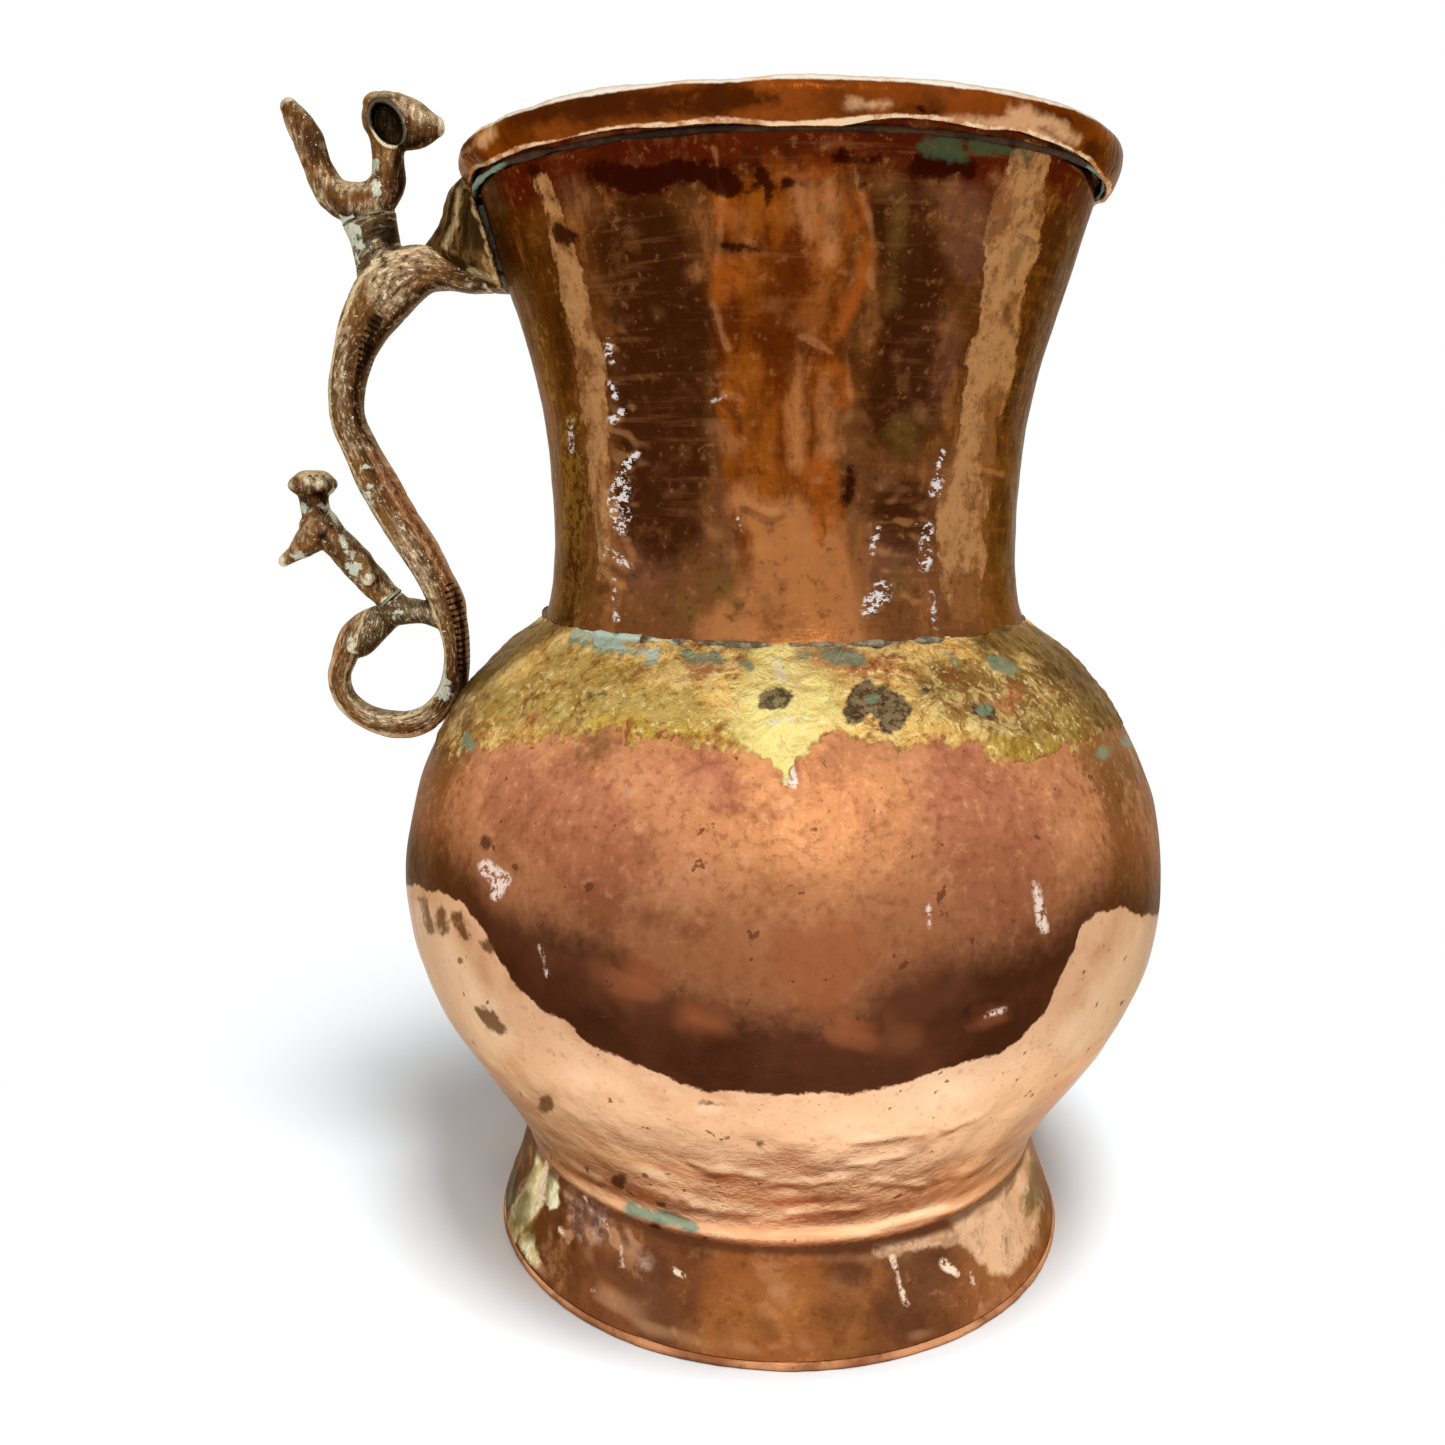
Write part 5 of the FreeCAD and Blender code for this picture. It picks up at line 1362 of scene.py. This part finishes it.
thumb_bird, points = casting("thumb_bird_casting", [
    limb([
        (-117.0, 279.4, 4.4, 4.2), (-115.4, 276.8, 6.4, 5.6), (-113.4, 273.4, 7.2, 6.0), (-111.8, 268.9, 7.0, 6.4),
        (-109.9, 263.6, 7.2, 7.0), (-107.3, 260.0, 8.4, 8.0), (-102.8, 258.4, 9.2, 9.2), (-98.0, 259.2, 9.2, 9.2),
        (-94.8, 262.8, 8.2, 8), (-94.3, 267.5, 7.4, 7.4), (-94.3, 271, 7.8, 7.8), (-94.2, 274.6, 9.8, 9.2),
    ], 90, 28, 2.1),
    ball(-94.0, 0, 277.0, 6.0, 5.4, 6.1),
    limb([(-92, 276.6, 12.8, 9.0), (-88.5, 275.9, 11.6, 7.8), (-85, 275.3, 8.6, 5.8), (-82.0, 275.3, 4.4, 3.4)], 30, 24,
         2.4, 0.3, 0.3),
    limb([(-99.4, 254.2, 13.2, 10.4), (-100.2, 256.8, 12.0, 9.8), (-100.4, 259, 9.0, 9.0)], 14, 28, 2.0, 0.05, 0.4),
    ball(-96.4, 0, 279.9, 3.2, 3.4, 3.2),
], 0.36, 7, thumb_bird_shape)
place_in("thumb_bird_casting", "cast_brass", "thumb_bird")
columns, rows = photo_place(points)
# the eye's hollow gets painted shade, leaving its lower left rim light
lower_left = np.clip(-0.5 * (points[:, 0] - EYE_X) - 0.85 * (points[:, 2] - EYE_Z) - 2.4, 0, 1)
give(thumb_bird, hole=4.8 - eye_distance(points) - 1.3 * lower_left)
mark(
    thumb_bird, columns, rows,
    # deep: painted shade in gaps
    deep=[
        [(399, 158, 5), (402, 186, 5), (398, 212, 8)], [(384, 230, 14), (394, 228, 10)],
        [(318, 206, 5), (336, 216, 6), (356, 214, 5)], [(410, 148, 5), (424, 140, 5)],
    ],
    # worn: lighter places, partly wear and partly painted highlights along the tail's edge and the belly
    worn=[
        [(320, 176, 10), (346, 186, 12), (370, 184, 10)], [(400, 102, 10), (430, 118, 8)],
        [(281, 112, 6), (300, 160, 6), (318, 200, 6), (340, 220, 6)], [(352, 210, 8), (378, 204, 8)],
    ],
    dusky=[
        [(384, 100, 14), (404, 104, 12)], [(410, 140, 16), (398, 170, 14), (396, 206, 12)],
        [(330, 208, 12), (366, 222, 12), (386, 214, 12)], [(304, 124, 8), (318, 160, 8)], [(390, 122, 30)],
        [(432, 130, 8)],
    ],
    deposit=[[(342, 222, 5), (356, 226, 6), (372, 222, 5)], [(372, 160, 4), (376, 190, 4)]],
)


def crested_bird_shape(places, normals):
    """Lumps on the skin, a flat foot and a clearance from the handle below it."""
    lumps = 0.2 * ripple(places, 6, 121) + 0.07 * ripple(places, 2.8, 122)
    places = places + normals * lumps[:, None]
    near = np.hypot(places[:, 0] - CRESTED_JOINT[0], places[:, 2] - CRESTED_JOINT[1]) < 9
    return places - np.where(near[:, None], sunk_below(places, CRESTED_JOINT), 0)


crested_bird, points = casting("crested_bird_casting", [
    round_limb([(-98.4, 163.0, 3.4), (-101, 165.5, 3.6), (-105, 170.3, 3.9), (-109.2, 175.2, 4.1),
                (-113.2, 179.8, 3.9), (-116.2, 184.2, 3.7), (-117, 188.6, 3.6), (-117, 191, 4.2)], 60,
               low_cap=0.1, high_cap=0.2),
    ball(-117.0, 0, 192.4, 6.1, 5.6, 3.5), ball(-115.8, 0, 181.6, 5.0, 4.8, 5.2),
    round_limb([(-115.5, 181, 4.5), (-120, 177.6, 3.2), (-125.0, 173.6, 1.3)], 30, low_cap=0.2, high_cap=0.8),
    ball(-103.6, -2.6, 169.1, 2.2, 1.8, 2.2),
], 0.36, 6, crested_bird_shape)
place_in("crested_bird_casting", "cast_brass", "crested_bird")
columns, rows = photo_place(points)
give(crested_bird, hole=np.full(len(points), -5.0))  # this bird has no hollow in its head
mark(
    crested_bird, columns, rows,
    # deep: painted shade in hollows
    deep=[
        [(305, 504, 7), (308, 508, 6)], [(318, 496, 5), (332, 492, 6)], [(292, 494, 6)],
        [(324, 532, 5), (318, 544, 5)], [(352, 572, 5)],
    ],
    # worn: lighter places, partly wear and partly painted highlights
    worn=[[(296, 478, 8), (330, 476, 8)], [(288, 546, 8), (310, 520, 8)], [(390, 590, 8)]],
    dusky=[
        [(296, 492, 12), (310, 498, 12)], [(326, 500, 8), (322, 520, 8)], [(322, 536, 12), (352, 570, 10)],
        [(302, 536, 10)], [(376, 590, 10)],
    ],
    deposit=[
        [(330, 506, 5), (336, 520, 6)], [(342, 536, 8), (356, 566, 6)], [(298, 510, 5)],
        [(312, 550, 5), (296, 558, 4)], [(362, 584, 5)], [(334, 490, 4)],
    ],
)


def cast_finish(name, notches):
    """Cast brass: brown in its hollows, pitted, with pale deposits, and painted light and shade: lighter on upward
    faces, darker on downward, side-on and vessel-facing ones, in gaps and in the eye's hollow, with painted highlights
    on ridges, in light streaks and in fine glints. Where asked, the side of the bar that faces the vessel carries cross
    notches."""
    cast = Finish(name, 0.95, 170)
    broad = cast.noise(60, 5, 0.6)
    grit = cast.noise(900, 5, 0.75)
    streaks = cast.noise(1, 4, 0.6, cast.stretched(900, 900, 260))
    if notches:
        spot = cast.node("ShaderNodeCombineXYZ", {}, [cast.field("along") * 0.45, cast.field("inward") * 6])
        streaks = cast.noise(1, 4, 0.6, spot)
    rough = cast.edge * 0.3
    up, toward = cast.field("up") + rough, cast.field("toward") + rough
    ridge = cast.field("ridge") + cast.edge * 0.03
    body = cast.between(broad, 0.4, 0.6, (106, 68, 34), (136, 92, 50))
    # painted light and shade by the way faces turn: darker side-on, lighter facing up, darker facing down and toward
    # the vessel
    body = cast.coats(body, [
        (cast.field("facing") + rough, (66, 40, 18), 0.5, 0.6, 0.25),
        (up, (232, 206, 164), 0.65, 0.3, 0.85),
        (up, (50, 30, 14), 0.6, -0.3, -0.85),
        (toward, (44, 24, 10), 0.55, 0.35, 0.8),
    ])
    # lighter worn places, partly wear and partly painted highlights
    worn = cast.step(cast.field("worn") + cast.edge * 40, -7, 7)
    # painted shade under parts and on the sides turned from the light
    body = cast.lay(body, "dusky", shade(48, 28, 12), 0.7, 7, 34)
    body = cast.mix(worn * 0.5, body, shade(214, 184, 144))
    if notches:
        # a painted highlight line along the bar's outer edge, a dark line at the very edge, a darker middle stripe and
        # a lighter coppery stripe low on the vessel side
        inward = cast.field("inward") + cast.edge * 0.5
        line = cast.step(inward, -0.92, -0.80) * cast.step(inward, -0.60, -0.72)
        body = cast.mix(line * 0.7, body, shade(244, 218, 168))
        body = cast.mix(cast.step(inward, -0.90, -0.98) * 0.6, body, shade(70, 66, 48))
        body = cast.mix(cast.step(inward, -0.1, 0.1) * cast.step(inward, 0.5, 0.36) * 0.45, body, shade(70, 44, 18))
        lower_inside = cast.step(inward, 0.42, 0.6) * cast.step(cast.field("along"), 62, 76)
        body = cast.mix(lower_inside * 0.6, body, shade(208, 146, 98))
    body = cast.coats(body, [
        (streaks, (56, 34, 16), 0.55 + worn * 0.3, 0.47, 0.38),
        # light streaks: painted highlights
        (streaks, (246, 218, 174), worn * 0.55 + (0.3 if notches else 0.2), 0.54, 0.63),
        (ridge, (34, 18, 8), 0.6, -0.01, -0.06),
        # painted highlights on ridges
        (ridge, (255, 238, 200), 0.75, 0.03, 0.07),
        (grit, (50, 28, 12), 0.4, 0.57, 0.64),
        # white specks: painted glints
        (grit, (255, 248, 228), 0.9, 0.38, 0.33),
        # near black: painted shade in gaps and notches
        ("deep", (24, 13, 6), 0.85, 4, 24),
        ("deposit", (222, 228, 204), 0.75, 2.5, 60),
    ])
    relief = grit * 0.3 + cast.fine * 0.3 + broad * 0.3 + streaks * 0.5
    if notches:
        cuts = cast.step((cast.field("along") * (2 * math.pi / NOTCH_SPACING)).sine(), 0.1, 0.7)
        cuts = cuts * cast.step(cast.field("notch"), 0, 3) * cast.step(cast.field("inward"), 0.2, 0.5)
        body = cast.mix(cuts * 0.85, body, shade(26, 12, 4))
        relief = relief - cuts * 1.2
    else:
        # painted shade in the eye's hollow
        body = cast.lay(body, "hole", shade(18, 10, 4), 0.88, 0.5, 1.6)
    return cast.wear(
        Base_Color=body, Roughness=cast.blend(grit, 0.16, 0.30), Normal=cast.bump(relief, 0.9, 0.0009),
    )


dress(handle, cast_finish("cast brass of the handle", True))
bird_brass = cast_finish("cast brass of the birds", False)
dress(thumb_bird, bird_brass)
dress(crested_bird, bird_brass)

# Leaf: the palmette that ends the handle against the neck


def leaf_shell(rows, columns):
    """A cupped leaf. At each height it spans the neck's side from edge to edge, its back 1.5 mm off the neck, and
    its face rises to a ridge in the middle as one less the 1.7th power of the distance, with shallow furrows."""
    drawn = np.array([
        (238.0, -71.6, 6.0), (239.4, -74.6, 7.8), (241.4, -79.4, 8.8), (244.0, -84.0, 9.6), (247.0, -86.6, 10.0),
        (249.4, -85.0, 10.2), (252.0, -82.7, 10.2), (255.0, -81.3, 9.8), (258.0, -80.6, 8.6), (260.8, -79.4, 6.8),
        (262.8, -77.6, 4.6), (264.0, -75.9, 2.2), (264.3, -75.2, 0.6),
    ])
    line = smooth_line(drawn, rows)
    level, ridge, half = line[:, :1], line[:, 1:2], np.maximum(line[:, 2:], 0.3)
    side = np.concatenate([np.linspace(-1, 1, columns), np.linspace(1, -1, columns)])
    face = np.concatenate([np.ones(columns), np.zeros(columns)])
    y = half * side
    back = -np.sqrt(np.maximum((neck_radius(level) + 1.5) ** 2 - y**2, 1))
    rise = np.abs(ridge - back.min(axis=1, keepdims=True))
    arch = rise * (1 - np.abs(side) ** 1.7) + 1.1
    arch = arch - 0.35 * (1 - np.cos(side * 4 * math.pi)) * (1 - side**2) * soft_step(level, 244, 250)
    x = back - face * np.maximum(arch, 1.0)
    return np.stack([x, y, level + 0 * x], axis=-1)


def leaf_shape(places, normals):
    """The leaf's skin: small lumps, with its back kept clear of the neck."""
    return clear_of_vessel(places + normals * (0.12 * ripple(places, 7, 141) + 0.08 * ripple(places, 3, 142))[:, None])


leaf, points = casting("cast_leaf", [leaf_shell(60, 30)], 0.36, 3, leaf_shape)
place_in("cast_leaf", "cast_brass", "handle_leaf")
columns, rows = photo_place(points)
mark(
    leaf, columns, rows,
    # painted highlights along the leaf's edges
    bright=[
        [(493, 232, 2), (500, 262, 3)], [(459, 190, 3), (455, 224, 4), (444, 246, 5)], [(470, 270, 6), (504, 284, 5)],
    ],
    dusky=[[(474, 210, 16), (474, 244, 20)], [(464, 184, 8)], [(500, 200, 10)]],
)
leafy = Finish("cast brass of the leaf", 0.92, 150)
veins = leafy.noise(1, 5, 0.65, leafy.stretched(260, 420, 60))
grit = leafy.noise(900, 5, 0.7)
ridge = leafy.field("ridge") + leafy.edge * 0.05
body = leafy.between(veins, 0.44, 0.56, (52, 32, 8), (104, 74, 34))
body = leafy.coats(body, [
    # painted shade in the leaf's middle
    ("dusky", (48, 30, 8), 0.75, 5, 24),
    (veins, (186, 146, 92), 0.7, 0.58, 0.66),
    # painted highlights on ridges and along edges
    (ridge, (206, 170, 116), 0.7, 0.02, 0.055),
    ("bright", (224, 190, 136), 0.7, 3, 12),
    (grit, (38, 22, 8), 0.6, 0.55, 0.63),
])
leaf_brass = leafy.wear(
    Base_Color=body, Roughness=0.3, Normal=leafy.bump(veins * 1.1 + leafy.fine * 0.4 + grit * 0.3, 0.8, 0.0011),
)
dress(leaf, leaf_brass)

# Solder between the scroll ring and the shoulder


def scroll_lens(name):
    """A low round heap on the shoulder: its height over the bowl falls from the middle to its rim as the square
    root of one less the squared distance."""
    share = np.sqrt(np.linspace(0, 1, 14))[:, None]
    turn = np.linspace(0, 2 * math.pi, 40, endpoint=False)
    level = 136.2 + share * 5.0 * np.sin(turn)
    bend = share * 4.6 * np.cos(turn) / 84.0
    height = 1.5 * np.sqrt(np.clip(1 - share**2, 0, 1)) + 0 * turn
    azimuth = -math.pi / 2 + bend

    def over(lift):
        reach = bowl_radius(level) + lift
        return np.stack([reach * np.sin(azimuth), -reach * np.cos(azimuth), level], axis=-1)

    top = over(height)
    top += np.array([-1.0, 0, 0.6]) * 0.1 * ripple(top, 3, 131)[..., None]
    points, faces = closed(np.concatenate([top, over(-0.25 + 0 * height)[::-1]]), True)
    return new_piece(name, points, faces)


lens = scroll_lens("scroll_ring_solder")
place_in("scroll_ring_solder", "solder", "scroll_solder")
pale = Finish("pale solder", 0.35)
edge = pale.noise(160, 6, 0.65)
fine = pale.noise(500, 4, 0.65)
body = pale.between(edge, 0.42, 0.58, (98, 76, 46), (158, 160, 126))
body = pale.mix(pale.step(fine, 0.56, 0.68) * 0.5, body, shade(58, 52, 34))
pale_solder = pale.wear(Base_Color=body, Roughness=0.6, Normal=pale.bump(fine, 0.7, 0.0006))
dress(lens, pale_solder)

# Finishes for the nodes that stay

STAYING = {
    "copper": wire_copper,
    "cast_brass": bird_brass,
    "spelter": pale_solder,
    "solder": pale_solder,
}
slots = {entry["node"]: entry["material_slot"] for entry in frame["record"]["subparts"]}
for node_name, node_piece in frame["nodes"].items():
    dress(node_piece, STAYING[slots[node_name]])

# Studio


def plane(name, side):
    """The table: a square at the floor's height."""
    half = side / 2
    mesh = bpy.data.meshes.new(name)
    corners = [(-half, -half, 0), (half, -half, 0), (half, half, 0), (-half, half, 0)]
    mesh.from_pydata(corners, [], [(0, 1, 2, 3)])
    piece = bpy.data.objects.new(name, mesh)
    bpy.context.scene.collection.objects.link(piece)
    return piece


def lamp(name, place, size, power, mirrored, target=(0, 0, 0.13)):
    """A soft lamp turned to the pitcher, shown in its mirror surfaces or not."""
    light = bpy.data.lights.new(name, "AREA")
    light.shape = "RECTANGLE"
    light.size, light.size_y = size
    light.energy = power
    piece = bpy.data.objects.new(name, light)
    piece.location = place
    way = np.array(place) - np.array(target)
    piece.rotation_euler = (math.atan2(math.hypot(way[0], way[1]), way[2]), 0, math.atan2(way[0], -way[1]))
    piece.visible_glossy = mirrored
    bpy.context.scene.collection.objects.link(piece)


def seen_by(finish, *kinds):
    """One where a ray of these kinds meets the surface."""
    path = finish.node("ShaderNodeLightPath", {}, [])
    rays = [Wire(finish, path.socket.node.outputs[kind]) for kind in kinds]
    total = rays[0]
    for ray in rays[1:]:
        total = total.over(ray)
    return total


TABLE_SIDE = 12.0
# From which to which distance the table turns to plain white, in metres: for the camera, and in what mirrors it
OPEN_TABLE, MIRRORED_TABLE = (0.105, 0.255), (0.08, 0.20)
SKY_LIGHT = 0.14  # strength of the world's light. What a ray sees of the world directly is plain white.
table = plane("table", TABLE_SIDE)
table_finish = Finish("white table", 0.0)
table_finish.wear(Base_Color=shade(239, 246, 250), Roughness=0.8)
table_finish.shader.inputs["Specular IOR Level"].default_value = 0.0
reach = table_finish.node("ShaderNodeVectorMath", {"operation": "LENGTH"}, [table_finish.place], "Value")
plain = table_finish.step(reach, *OPEN_TABLE) * seen_by(table_finish, "Is Camera Ray")
mirrored = table_finish.step(reach, *MIRRORED_TABLE) * seen_by(table_finish, "Is Glossy Ray", "Is Transmission Ray")
glow = table_finish.node("ShaderNodeEmission", {}, {"Color": (1, 1, 1, 1), "Strength": 1.0})
mixed = table_finish.node("ShaderNodeMixShader", {}, {0: plain + mirrored, 2: glow})
table_finish.tree.links.new(table_finish.shader.outputs["BSDF"], mixed.socket.node.inputs[1])
surface = next(n for n in table_finish.tree.nodes if n.type == "OUTPUT_MATERIAL").inputs["Surface"]
table_finish.tree.links.new(mixed.socket, surface)
dress(table, table_finish.material)


class Sky(Finish):
    """The world's own shader tree."""

    def __init__(self, world):
        self.tree = world.node_tree


world = bpy.data.worlds.new("studio")
bpy.context.scene.world = world
world.use_nodes = True
sky = Sky(world)
background = next(n for n in world.node_tree.nodes if n.type == "BACKGROUND")
background.inputs["Color"].default_value = (1, 1, 1, 1)
level = sky.blend(seen_by(sky, "Is Camera Ray", "Is Glossy Ray", "Is Transmission Ray"), SKY_LIGHT, 1.0)
world.node_tree.links.new(level.socket, background.inputs["Strength"])

lamp("window", (0.13, -0.30, 1.05), (0.42, 0.42), 15, False)
lamp("side window", (-0.34, -0.30, 1.00), (0.50, 0.50), 3, False)
lamp("front spark", (0.10, -0.75, 0.80), (0.10, 0.16), 0.6, True)

view = bpy.data.cameras.new("camera")
view.sensor_width = 36
view.lens = FOCAL / FRAME_SIDE * 36
view.clip_start = 0.01
camera = bpy.data.objects.new("camera", view)
camera.location = [value * MM for value in CAMERA_PLACE]
camera.rotation_euler = (math.pi / 2 - CAMERA_DIP, 0, 0)
bpy.context.scene.collection.objects.link(camera)
bpy.context.scene.camera = camera
bpy.context.scene.view_settings.view_transform = "Standard"
